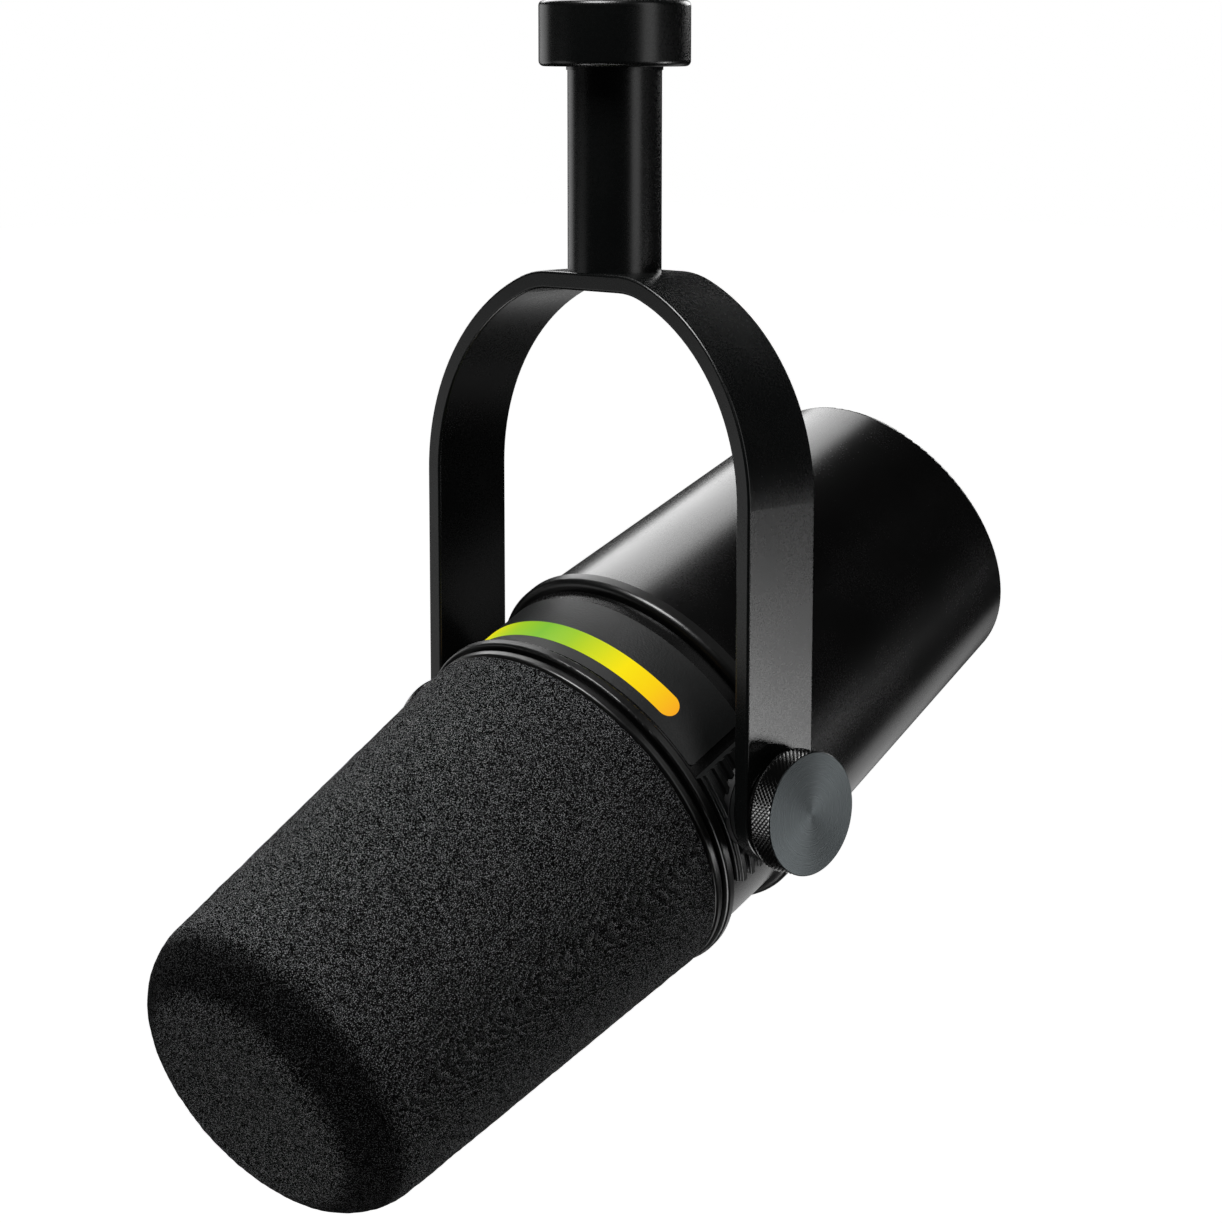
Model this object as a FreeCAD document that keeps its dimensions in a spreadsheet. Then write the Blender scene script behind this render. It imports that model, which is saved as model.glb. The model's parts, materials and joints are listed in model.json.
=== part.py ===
import FreeCAD, Part
import math
import os

import Sketcher

# Broadcast microphone hanging in a U-shaped yoke from a boom-stand nut.
#
# Row frame: origin at the mouth of the stand thread, +Z up out of it, +X along the tilt pivot towards
# the right-hand knob. The microphone looks towards -Y and hangs nose-down by tilt_angle.
# Head parts are drawn in their own frame: pivot at the origin, -Y towards the nose, +Z over the top.
# Stations along the head are distances in front of the pivot, so a station s is drawn at Y = -s.

# name: (millimetres or degrees, what it sets)
DIMENSIONS = {
    # stand nut and stem
    "nut_r": (12.65, "stand nut outside radius"),
    "nut_len": (10.8, "stand nut height"),
    "nut_edge": (0.9, "rounding of the nut's outer edges"),
    "thread_r": (7.43, "5/8-27 female thread, wall radius"),
    "thread_depth": (7.2, "length of the thread wall"),
    "nut_cavity_r": (10.6, "room for the stem flange"),
    "ring_r": (10.55, "retaining ring outside radius"),
    "ring_hole_r": (7.92, "retaining ring bore, 0.05 round the stem"),
    "ring_inset": (0.2, "how far the ring sits inside the nut"),
    "stem_r": (7.87, "stem outside radius"),
    "stem_len": (33.8, "stem between nut and yoke"),
    "collar_r": (8.07, "stem collar radius"),
    "collar_len": (0.55, "stem collar height"),
    "flange_r": (10.4, "stem flange held inside the nut"),
    "flange_len": (1.5, "stem flange thickness"),
    "stem_bore_r": (4.5, "weight-saving bore"),
    "stem_bore_end": (30.0, "depth of the bore below the thread mouth"),
    "screw_hole_r": (2.55, "tapped hole for the yoke screw"),
    "play": (0.05, "running gap"),
    # yoke
    "yoke_rise": (85.9, "pivot to the yoke's top face"),
    "arm_half": (38.1, "pivot plane to the arm's outer face"),
    "arm_thick": (2.95, "strap thickness"),
    "arm_width": (16.0, "strap width"),
    "arm_end": (9.2, "arm length below the pivot"),
    "arm_round": (7.9, "rounding of the arm ends"),
    "arc_r": (37.7, "outer radius of the big bends"),
    "arc_rise": (49.75, "height of the big bends' centres"),
    "corner_r": (16.4, "outer radius of the top bends"),
    "strap_edge": (0.45, "rounding of the strap's edges"),
    "pivot_hole_r": (3.1, "stud hole in each arm"),
    "sink_r": (4.9, "countersink mouth radius"),
    "sink_len": (2.3, "countersink depth"),
    "sink_hole_r": (2.6, "yoke screw clearance radius"),
    "screw_r": (2.5, "yoke screw radius"),
    "screw_head_r": (4.75, "yoke screw head radius"),
    "screw_top": (97.5, "yoke screw tip above the pivot"),
    "socket_r": (1.75, "hexagon socket, centre to corner"),
    "socket_len": (1.5, "hexagon socket depth"),
    # knobs and pivot hardware
    "knob_r": (10.27, "knob radius"),
    "knob_face": (45.0, "pivot plane to the knob's face"),
    "knob_len": (4.4, "knurled length"),
    "knob_edge": (0.12, "knob edge chamfer"),
    "hub_r": (8.0, "knob hub radius"),
    "hub_back": (38.2, "pivot plane to the hub's back face"),
    "stud_r": (3.0, "knob stud radius"),
    "stud_hole_r": (3.05, "stud hole in knob and bushing"),
    "stud_start": (25.5, "stud inner end"),
    "stud_tip": (42.6, "stud outer end"),
    "bushing_start": (24.5, "bushing inner end"),
    "bushing_seat": (31.7, "bushing flange, inner face"),
    "bushing_face": (34.25, "bushing flange, outer face"),
    "bushing_r": (5.5, "bushing barrel radius"),
    "bushing_hole_r": (5.55, "bushing hole in the neck"),
    "bushing_flange_r": (8.1, "bushing flange radius"),
    "washer_start": (34.3, "friction washer, inner face"),
    "washer_end": (35.1, "friction washer, outer face"),
    "washer_r": (7.9, "friction washer radius"),
    "washer_hole_r": (3.15, "friction washer hole"),
    "pad_r": (31.55, "side pad inner radius"),
    "pad_floor_r": (33.4, "side pad groove radius"),
    "pad_rib_r": (34.2, "side pad rib radius"),
    "pad_half": (8.35, "side pad half length"),
    "pad_arc": (37.0, "side pad angle round the neck"),
    "pad_hole_r": (8.25, "side pad hole round the bushing"),
    "rib_pitch": (2.1, "rib spacing"),
    "rib_width": (0.95, "rib width"),
    "rib_first": (7.83, "first rib behind the pivot"),
    # head
    "tilt_angle": (25.9, "nose-down angle at rest"),
    "neck_r": (31.5, "neck radius"),
    "neck_front": (8.8, "neck front shoulder"),
    "neck_back": (8.6, "neck rear shoulder, behind the pivot"),
    "neck_edge": (0.4, "neck rear edge chamfer"),
    "neck_inner_r": (27.0, "neck inside radius"),
    "spigot_r": (29.2, "rear spigot radius"),
    "spigot_back": (16.0, "rear spigot end, behind the pivot"),
    "nose_spigot_r": (29.9, "front spigot radius"),
    "nose_spigot_front": (14.0, "front spigot end"),
    "bulkhead_back": (11.5, "front wall inner face"),
    "lead_hole_r": (6.0, "lead hole in the front wall"),
    "recess_r": (30.4, "touch panel recess floor"),
    "recess_back": (5.8, "recess rear edge, behind the pivot"),
    "recess_front": (7.6, "recess front edge"),
    "recess_arc": (136.0, "recess angle"),
    "panel_r": (31.6, "touch panel outer radius"),
    "panel_floor_r": (30.45, "touch panel inner radius"),
    "panel_back": (5.75, "touch panel rear edge, behind the pivot"),
    "panel_front": (7.55, "touch panel front edge"),
    "panel_arc": (135.6, "touch panel angle"),
    "cut_r": (34.0, "outer limit of the recess cuts"),
    "bay_r": (29.4, "light bay floor"),
    "bay_back": (0.8, "light bay rear edge"),
    "bay_front": (6.0, "light bay front edge"),
    "bay_arc": (112.0, "light bay angle"),
    "strip_mid": (3.4, "middle of the light strip"),
    "strip_half": (2.03, "light strip half width"),
    "strip_arc": (99.0, "light strip angle between its round ends"),
    "guide_half": (2.0, "light guide half width"),
    "guide_top_r": (31.62, "light guide outer radius"),
    "guide_floor_r": (30.95, "light guide inner radius"),
    "board_floor_r": (29.45, "light board inner radius"),
    "board_top_r": (30.25, "light board outer radius"),
    "board_back": (0.9, "light board rear edge"),
    "board_front": (5.9, "light board front edge"),
    "board_arc": (110.0, "light board angle"),
    "lamp_side": (2.0, "light source footprint"),
    "lamp_len": (0.6, "light source height"),
    "collar_hole_r": (29.95, "bezel and rim ring bore"),
    "bezel_r": (33.1, "bezel ring radius"),
    "bezel_front": (10.64, "bezel ring front face"),
    "bezel_edge": (0.45, "bezel edge rounding"),
    "rim_r": (32.35, "rim ring radius"),
    "rim_back": (11.05, "rim ring rear face"),
    "rim_front": (12.95, "rim ring front face"),
    "rim_edge": (0.6, "rim ring rounding"),
    "rim_waist_r": (31.4, "radius in the groove behind the rim"),
    # grille and windscreen
    "grille_lip_r": (29.85, "grille foot radius"),
    "grille_foot": (14.05, "grille foot rear face"),
    "grille_step": (15.05, "grille foot front face"),
    "grille_base_r": (26.0, "grille outer radius at the foot"),
    "grille_nose_r": (22.4, "grille outer radius at the nose"),
    "grille_nose": (80.0, "start of the grille's nose rounding"),
    "grille_tip": (83.0, "grille front face"),
    "grille_tip_r": (19.4, "grille flat front radius"),
    "grille_wall": (1.0, "grille sheet thickness"),
    "foam_base_r": (32.45, "windscreen radius at the rim"),
    "foam_base": (13.1, "windscreen rear face"),
    "foam_nose_r": (26.95, "windscreen radius before the nose rounding"),
    "foam_tip": (92.06, "windscreen front face"),
    "foam_round": (11.9, "windscreen nose rounding"),
    "foam_lip_r": (30.1, "windscreen bore at the grille foot"),
    "foam_step": (15.3, "end of the wide bore"),
    "foam_gap": (0.25, "room between windscreen and grille"),
    # rear housing
    "trim_r": (33.2, "rear trim ring radius"),
    "trim_back": (11.2, "rear trim ring rear face, behind the pivot"),
    "trim_hole_r": (29.25, "rear trim ring bore"),
    "trim_edge": (1.1, "rear trim ring front rounding"),
    "tube_front_r": (32.2, "rear tube radius at the trim ring"),
    "tube_back_r": (27.7, "rear tube radius at its end"),
    "tube_end": (77.1, "rear tube end, behind the pivot"),
    "tube_edge": (0.8, "rear tube end rounding"),
    "tube_mouth_r": (30.0, "rear tube inside radius at the front"),
    "cap_hole_r": (25.9, "end cap seat radius"),
    "cap_seat": (72.5, "end cap seat, behind the pivot"),
    "shoulder_r": (20.3, "radius inside the screw shoulder"),
    "shoulder_end": (68.0, "front of the screw shoulder, behind the pivot"),
    "tube_inner_r": (24.4, "rear tube inside radius at the shoulder"),
    "cap_r": (25.85, "end cap radius"),
    "cap_face": (75.5, "end cap outer face, behind the pivot"),
    "cap_screw_pcr": (22.6, "end cap screws, centre radius"),
    "cap_screw_hole_r": (1.3, "end cap screw clearance radius"),
    "cap_screw_r": (1.25, "end cap screw radius"),
    "cap_head_r": (1.95, "end cap screw head radius"),
    "cap_head_len": (1.1, "end cap screw head height"),
    "cap_screw_end": (69.0, "end cap screw tip, behind the pivot"),
    # connectors
    "xlr_drop": (7.0, "three-pin socket centre below the axis"),
    "xlr_r": (10.0, "socket shell radius"),
    "xlr_hole_r": (10.05, "socket hole in the end cap"),
    "xlr_cavity_r": (8.1, "socket cavity radius"),
    "xlr_flange_r": (11.4, "socket flange radius"),
    "xlr_face": (76.1, "socket flange face, behind the pivot"),
    "xlr_floor": (60.0, "socket floor, behind the pivot"),
    "xlr_end": (56.0, "socket inner end, behind the pivot"),
    "xlr_insert_r": (8.05, "insulator radius"),
    "pin_r": (1.2, "contact radius"),
    "pin_pcr": (4.1, "contacts, centre radius"),
    "pin_tip": (72.5, "contact tips, behind the pivot"),
    "usb_side": (7.0, "data socket centre to the left"),
    "usb_rise": (13.0, "data socket centre above the axis"),
    "usb_half": (2.84, "data socket, centre to end-arc centre"),
    "usb_r": (1.63, "data socket outer radius"),
    "usb_inner_r": (1.33, "data socket inner radius"),
    "usb_hole_r": (1.7, "data socket hole radius in the end cap"),
    "usb_face": (75.7, "data socket mouth, behind the pivot"),
    "usb_end": (68.3, "data socket inner end, behind the pivot"),
    "usb_wall": (0.9, "data socket back wall"),
    "tongue_width": (6.6, "data socket tongue width"),
    "tongue_thick": (0.7, "data socket tongue thickness"),
    "tongue_len": (4.5, "data socket tongue length"),
    "jack_side": (7.0, "headphone socket centre to the right"),
    "jack_rise": (14.9, "headphone socket centre above the axis"),
    "jack_r": (3.45, "headphone socket body radius"),
    "jack_hole_r": (3.5, "headphone socket hole in the end cap"),
    "jack_bore_r": (1.8, "headphone socket bore radius"),
    "jack_flange_r": (4.4, "headphone socket flange radius"),
    "jack_face": (76.1, "headphone socket mouth, behind the pivot"),
    "jack_floor": (62.1, "headphone socket bore end, behind the pivot"),
    "jack_end": (61.0, "headphone socket inner end, behind the pivot"),
    "pcb_half": (16.0, "main board half width"),
    "pcb_thick": (1.6, "main board thickness"),
    "pcb_rise": (9.7, "main board underside above the axis"),
    "pcb_back": (72.3, "main board rear edge, behind the pivot"),
    "pcb_front": (26.0, "main board front edge, behind the pivot"),
    # cartridge
    "case_r": (16.0, "cartridge case radius"),
    "case_bore_r": (12.05, "cartridge case bore"),
    "case_back": (30.0, "cartridge case rear face"),
    "case_floor": (38.0, "cartridge case floor"),
    "case_front": (56.0, "cartridge case front face"),
    "cover_r": (16.0, "cartridge cover radius"),
    "cover_front": (57.5, "cartridge cover front face"),
    "cover_hole_r": (1.4, "sound hole radius"),
    "cover_hole_pcr": (6.5, "sound holes, centre radius"),
    "motor_r": (12.0, "magnet and plate radius"),
    "plate_front": (40.0, "back plate front face"),
    "pole_r": (5.0, "pole radius"),
    "pole_tip": (50.0, "pole front face"),
    "magnet_hole_r": (7.5, "magnet bore"),
    "magnet_front": (48.0, "magnet front face"),
    "gap_r": (6.1, "top plate bore"),
    "coil_in_r": (5.4, "coil inner radius"),
    "coil_out_r": (5.7, "coil outer radius"),
    "coil_back": (47.0, "coil rear end"),
    "dome_back": (51.6, "diaphragm rear face"),
    "dome_front": (51.8, "diaphragm front face"),
    "dome_rise": (1.6, "diaphragm dome height"),
    "dome_r": (11.5, "diaphragm radius"),
    "mount_in_r": (16.05, "rubber suspension inner radius"),
    "mount_back_r": (23.4, "rear suspension outer radius"),
    "mount_front_r": (22.2, "front suspension outer radius"),
    "mount_back_at": (34.0, "rear suspension station"),
    "mount_front_at": (51.0, "front suspension station"),
    "mount_len": (3.0, "suspension thickness"),
}
LAMPS = 11
CAP_SCREW_ANGLES = (90.0, 210.0, 330.0)
PIN_ANGLES = (-90.0, 30.0, 150.0)
COVER_HOLES = 6
RIBS = 8

os.makedirs("parts", exist_ok=True)
doc = FreeCAD.newDocument("microphone")
sheet = doc.addObject("Spreadsheet::Sheet", "dims")
for row, (name, (size, note)) in enumerate(DIMENSIONS.items(), start=1):
    sheet.set("A%d" % row, note)
    sheet.set("B%d" % row, repr(size))
    sheet.setAlias("B%d" % row, name)
doc.recompute()

nodes = []


def cell(name):
    return DIMENSIONS[name][0]


def value(text):
    """Number for a sum such as 'tube_end - cap_face + 2*play'."""
    total, sign = 0.0, 1.0
    for token in text.split():
        if token in "+-":
            sign = 1.0 if token == "+" else -1.0
            continue
        factor, _, name = token.rpartition("*")
        number = cell(name) if name in DIMENSIONS else float(name)
        total += sign * (float(factor) if factor else 1.0) * number
    return total


def bound(text):
    """The same sum as an expression on the sheet."""
    words = []
    for token in text.split():
        factor, star, name = token.rpartition("*")
        words.append(factor + star + "dims." + name if name in DIMENSIONS else token)
    return " ".join(words)


def new_body(label, pose=None):
    body = doc.addObject("PartDesign::Body", label)
    body.Label = label
    if pose is not None:
        body.Placement = pose
    return body


def new_sketch(body, name, role):
    """Empty sketch on one of the body's own origin planes."""
    sketch = body.newObject("Sketcher::SketchObject", body.Name + "_" + name)
    plane = [p for p in body.Origin.OriginFeatures if p.Role == role][0]
    sketch.AttachmentSupport = [(plane, "")]
    sketch.MapMode = "FlatFace"
    return sketch


def pin_point(sketch, shape, end, x, y, tag):
    """Hold one point of a sketch at (x, y), both given as sums of sheet cells."""
    for text, kind, axis in ((x, "DistanceX", -2), (y, "DistanceY", -1)):
        if value(text) == 0.0:
            sketch.addConstraint(Sketcher.Constraint("PointOnObject", shape, end, axis))
            continue
        index = sketch.addConstraint(Sketcher.Constraint(kind, -1, 1, shape, end, value(text)))
        name = kind[-1].lower() + "_" + tag
        sketch.renameConstraint(index, name)
        sketch.setExpression("Constraints." + name, bound(text))


def polygon(body, name, role, points):
    """Closed outline through the points, every corner held by the sheet."""
    sketch = new_sketch(body, name, role)
    corners = [FreeCAD.Vector(value(x), value(y), 0) for x, y in points]
    count = len(corners)
    for i in range(count):
        sketch.addGeometry(Part.LineSegment(corners[i], corners[(i + 1) % count]), False)
    for i in range(count):
        sketch.addConstraint(Sketcher.Constraint("Coincident", i, 2, (i + 1) % count, 1))
    for i, (x, y) in enumerate(points):
        pin_point(sketch, i, 1, x, y, "corner%d" % i)
    return sketch


def circle(body, name, role, x, y, radius):
    sketch = new_sketch(body, name, role)
    centre = FreeCAD.Vector(value(x), value(y), 0)
    sketch.addGeometry(Part.Circle(centre, FreeCAD.Vector(0, 0, 1), value(radius)), False)
    pin_point(sketch, 0, 3, x, y, "centre")
    index = sketch.addConstraint(Sketcher.Constraint("Radius", 0, value(radius)))
    sketch.renameConstraint(index, "radius")
    sketch.setExpression("Constraints.radius", bound(radius))
    return sketch


def stadium(body, name, role, half, radius, x, y):
    """Slot outline: two round ends a distance 2*half apart, centred on (x, y)."""
    sketch = new_sketch(body, name, role)
    centre_x, centre_y, h, r = value(x), value(y), value(half), value(radius)
    ends = [FreeCAD.Vector(centre_x - h, centre_y, 0), FreeCAD.Vector(centre_x + h, centre_y, 0)]
    up, normal = FreeCAD.Vector(0, r, 0), FreeCAD.Vector(0, 0, 1)
    sketch.addGeometry(Part.LineSegment(ends[0] + up, ends[1] + up), False)
    sketch.addGeometry(Part.ArcOfCircle(Part.Circle(ends[1], normal, r), -math.pi / 2, math.pi / 2), False)
    sketch.addGeometry(Part.LineSegment(ends[1] - up, ends[0] - up), False)
    sketch.addGeometry(Part.ArcOfCircle(Part.Circle(ends[0], normal, r), math.pi / 2, 3 * math.pi / 2), False)
    for first, first_end, second, second_end in ((0, 2, 1, 2), (1, 1, 2, 1), (2, 2, 3, 2), (3, 1, 0, 1)):
        sketch.addConstraint(Sketcher.Constraint("Tangent", first, first_end, second, second_end))
    pin_point(sketch, 1, 3, x + " + " + half, y, "right")
    pin_point(sketch, 3, 3, x + " - " + half, y, "left")
    for shape in (1, 3):
        index = sketch.addConstraint(Sketcher.Constraint("Radius", shape, r))
        sketch.renameConstraint(index, "radius%d" % shape)
        sketch.setExpression("Constraints.radius%d" % shape, bound(radius))
    return sketch


def turn(body, sketch, axis, kind="Revolution", angle=None):
    """Revolve (or groove) a sketch about one of its axes; a partial angle is split both ways."""
    feature = body.newObject("PartDesign::" + kind, sketch.Name + "_turn")
    feature.Profile = sketch
    feature.ReferenceAxis = (sketch, [axis])
    feature.Angle = 360.0
    if angle is not None:
        feature.setExpression("Angle", bound(angle))
        feature.Midplane = True
    sketch.Visibility = False
    return feature


def pad(body, sketch, length, midplane=True, back=False):
    feature = body.newObject("PartDesign::Pad", sketch.Name + "_pad")
    feature.Profile = sketch
    feature.setExpression("Length", bound(length))
    feature.Midplane = midplane
    feature.Reversed = back
    return feature


def cut_through(body, sketch):
    """Pocket through everything on both sides of the sketch."""
    feature = body.newObject("PartDesign::Pocket", sketch.Name + "_cut")
    feature.Profile = sketch
    feature.Type = 1
    feature.Midplane = True
    return feature


def rims(feature, radius, along, where):
    """Names of the circular edges of this radius whose centre lies at 'where' along an axis."""
    doc.recompute()
    names = []
    for index, edge in enumerate(feature.Shape.Edges, start=1):
        if not isinstance(edge.Curve, Part.Circle) or abs(edge.Curve.Radius - radius) > 0.01:
            continue
        if abs(edge.Curve.Center.dot(along) - where) < 0.01:
            names.append("Edge%d" % index)
    return names


def dress(body, feature, kind, edges, size):
    """Fillet or chamfer the named edges with a size from the sheet."""
    if not edges:
        raise RuntimeError("no edge to dress on " + feature.Name)
    dressing = body.newObject("PartDesign::" + kind, feature.Name + "_" + kind.lower())
    dressing.Base = (feature, edges)
    dressing.setExpression("Radius" if kind == "Fillet" else "Size", bound(size))
    return dressing


def finish(*objects):
    """Register finished sub-parts for export."""
    nodes.extend(objects)


X_AXIS, Y_AXIS, Z_AXIS = FreeCAD.Vector(1, 0, 0), FreeCAD.Vector(0, 1, 0), FreeCAD.Vector(0, 0, 1)
PIVOT = FreeCAD.Vector(0, 0, -value("nut_len + stem_len + yoke_rise"))
AT_PIVOT = FreeCAD.Placement(PIVOT, FreeCAD.Rotation())
HEAD = FreeCAD.Placement(PIVOT, FreeCAD.Rotation(X_AXIS, cell("tilt_angle")))
HALF_TURN = FreeCAD.Placement(FreeCAD.Vector(), FreeCAD.Rotation(Z_AXIS, 180.0))


def shifted(x, z):
    """Head pose moved sideways and upwards within the head frame."""
    return HEAD.multiply(FreeCAD.Placement(FreeCAD.Vector(value(x), 0, value(z)), FreeCAD.Rotation()))


def upright(label, points, pose=None):
    """Body turned about the vertical axis from (radius, height) corners."""
    body = new_body(label, pose)
    return body, turn(body, polygon(body, "outline", "XZ_Plane", points), "V_Axis")


def round_part(label, points, pose=None):
    """Body turned about the head axis from (radius, station in front of the pivot) corners."""
    body = new_body(label, pose or HEAD)
    flipped = [(r, negated(s)) for r, s in points]
    return body, turn(body, polygon(body, "outline", "XY_Plane", flipped), "V_Axis")


def negated(text):
    """The sum with every sign turned round."""
    words, sign = [], "-"
    for token in text.split():
        if token in "+-":
            sign = "-" if token == "+" else "+"
            continue
        words += [sign, token]
        sign = "-"
    if words[0] == "+":
        words = words[1:]
    return " ".join(words)


def pivot_part(label, points, pose):
    """Body turned about the pivot axis from (distance along the pivot, radius) corners."""
    body = new_body(label, pose)
    return body, turn(body, polygon(body, "outline", "XY_Plane", points), "H_Axis")


def arc_part(label, r_in, r_out, back, front, angle):
    """Arc of a ring over the top of the head."""
    body = new_body(label, HEAD)
    corners = [(negated(back), r_in), (negated(back), r_out), (negated(front), r_out), (negated(front), r_in)]
    turn(body, polygon(body, "outline", "YZ_Plane", corners), "H_Axis", angle=angle)
    return body


def arc_groove(body, name, r_in, r_out, back, front, angle):
    corners = [(negated(back), r_in), (negated(back), r_out), (negated(front), r_out), (negated(front), r_in)]
    return turn(body, polygon(body, name, "YZ_Plane", corners), "H_Axis", "Groove", angle)


# ---------------------------------------------------------------- stand nut and stem
stand_nut, feature = upright("stand_nut", [
    ("thread_r", "0"), ("nut_r", "0"), ("nut_r", "- nut_len"), ("nut_cavity_r", "- nut_len"),
    ("nut_cavity_r", "- thread_depth"), ("thread_r", "- thread_depth")])
outer = rims(feature, cell("nut_r"), Z_AXIS, 0.0) + rims(feature, cell("nut_r"), Z_AXIS, -cell("nut_len"))
dress(stand_nut, feature, "Fillet", outer, "nut_edge")

flange_top = "- thread_depth - play"
ring_top = "- thread_depth - 2*play - flange_len"
nut_retaining_ring, feature = upright("nut_retaining_ring", [
    ("ring_hole_r", ring_top), ("ring_r", ring_top),
    ("ring_r", "- nut_len + ring_inset"), ("ring_hole_r", "- nut_len + ring_inset")])

stem_foot = "- nut_len - stem_len"
stem_tube, feature = upright("stem_tube", [
    ("stem_bore_r", flange_top), ("flange_r", flange_top), ("flange_r", flange_top + " - flange_len"),
    ("stem_r", flange_top + " - flange_len"), ("stem_r", "- nut_len - play"),
    ("collar_r", "- nut_len - play"), ("collar_r", "- nut_len - play - collar_len"),
    ("stem_r", "- nut_len - play - collar_len"), ("stem_r", stem_foot), ("screw_hole_r", stem_foot),
    ("screw_hole_r", "- stem_bore_end"), ("stem_bore_r", "- stem_bore_end")])

# ---------------------------------------------------------------- yoke
def strap_outline(body):
    """Front view of the bent strap: tangent arcs outside and inside, square arm ends."""
    sketch = new_sketch(body, "outline", "XZ_Plane")
    half, rise, thick = cell("arm_half"), cell("yoke_rise"), cell("arm_thick")
    bend_x, bend_z = half - cell("arc_r"), cell("arc_rise")
    corner_z = rise - cell("corner_r")
    spread = cell("arc_r") - cell("corner_r")
    corner_x = bend_x + math.sqrt(spread ** 2 - (corner_z - bend_z) ** 2)
    angle = math.atan2(corner_z - bend_z, corner_x - bend_x)
    normal = FreeCAD.Vector(0, 0, 1)

    def arc(x, z, radius, start, end):
        return Part.ArcOfCircle(Part.Circle(FreeCAD.Vector(x, z, 0), normal, radius), start, end)

    def line(x0, z0, x1, z1):
        return Part.LineSegment(FreeCAD.Vector(x0, z0, 0), FreeCAD.Vector(x1, z1, 0))

    def skin(inset):
        """Right arm, right bends, top, left bends, left arm of one face of the strap."""
        big, small, top, side = cell("arc_r") - inset, cell("corner_r") - inset, rise - inset, half - inset
        shapes = [
            line(side, -cell("arm_end"), side, bend_z),
            arc(bend_x, bend_z, big, 0, angle),
            arc(corner_x, corner_z, small, angle, math.pi / 2),
            line(corner_x, top, -corner_x, top),
            arc(-corner_x, corner_z, small, math.pi / 2, math.pi - angle),
            arc(-bend_x, bend_z, big, math.pi - angle, math.pi),
            line(-side, bend_z, -side, -cell("arm_end")),
        ]
        first = sketch.GeometryCount
        for shape in shapes:
            sketch.addGeometry(shape, False)
        # the end of each shape runs smoothly into the start of the next
        for step in range(len(shapes) - 1):
            sketch.addConstraint(Sketcher.Constraint("Tangent", first + step, 2, first + step + 1, 1))
        return first

    outside, inside = skin(0.0), skin(thick)
    ends = sketch.GeometryCount
    sketch.addGeometry(line(half, -cell("arm_end"), half - thick, -cell("arm_end")), False)
    sketch.addGeometry(line(-half, -cell("arm_end"), thick - half, -cell("arm_end")), False)
    for a, a_end, b, b_end in ((outside, 1, ends, 1), (inside, 1, ends, 2),
                               (outside + 6, 2, ends + 1, 1), (inside + 6, 2, ends + 1, 2)):
        sketch.addConstraint(Sketcher.Constraint("Coincident", a, a_end, b, b_end))

    def held(kind, size, *where):
        index = sketch.addConstraint(Sketcher.Constraint(kind, *where, value(size)))
        name = "size%d" % index
        sketch.renameConstraint(index, name)
        sketch.setExpression("Constraints." + name, bound(size))

    for first, inset in ((outside, ""), (inside, " - arm_thick")):
        for upright_line in (0, 6):
            sketch.addConstraint(Sketcher.Constraint("Vertical", first + upright_line))
        sketch.addConstraint(Sketcher.Constraint("Horizontal", first + 3))
        for bend in (1, 5):
            held("Radius", "arc_r" + inset, first + bend)
        for bend in (2, 4):
            held("Radius", "corner_r" + inset, first + bend)
        held("DistanceY", "yoke_rise" + inset, -1, 1, first + 3, 1)
    held("DistanceX", "arm_half - arc_r", -1, 1, outside + 1, 3)
    held("DistanceX", "arc_r - arm_half", -1, 1, outside + 5, 3)
    for bend in (1, 5):
        held("DistanceY", "arc_rise", -1, 1, outside + bend, 3)
        sketch.addConstraint(Sketcher.Constraint("Coincident", outside + bend, 3, inside + bend, 3))
    for end in (ends, ends + 1):
        sketch.addConstraint(Sketcher.Constraint("Horizontal", end))
        held("DistanceY", "- arm_end", -1, 1, end, 1)
    return sketch


yoke_strap = new_body("yoke_strap", AT_PIVOT)
strap = pad(yoke_strap, strap_outline(yoke_strap), "arm_width")
doc.recompute()
# the four short edges across the arm ends run along X at the very bottom
arm_corners = ["Edge%d" % i for i, edge in enumerate(strap.Shape.Edges, start=1)
               if all(abs(v.Z + cell("arm_end")) < 0.01 for v in edge.Vertexes)
               and abs(edge.Length - cell("arm_thick")) < 0.01]
strap_round = dress(yoke_strap, strap, "Fillet", arm_corners, "arm_round")
doc.recompute()
strap_rims = ["Edge%d" % i for i, edge in enumerate(strap_round.Shape.Edges, start=1)
              if edge.Length > 1.0
              and all(abs(abs(v.Y) - cell("arm_width") / 2) < 0.01 for v in edge.Vertexes)]
strap_soft = dress(yoke_strap, strap_round, "Fillet", strap_rims, "strap_edge")
cut_through(yoke_strap, circle(yoke_strap, "pivot_hole", "YZ_Plane", "0", "0", "pivot_hole_r"))
sink = polygon(yoke_strap, "sink", "XZ_Plane", [
    ("0", "yoke_rise + 1"), ("sink_hole_r", "yoke_rise + 1"),
    ("sink_hole_r", "yoke_rise - arm_thick + sink_len"), ("sink_r", "yoke_rise - arm_thick"),
    ("sink_r", "yoke_rise - arm_thick - 1"), ("0", "yoke_rise - arm_thick - 1")])
turn(yoke_strap, sink, "V_Axis", "Groove")

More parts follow.
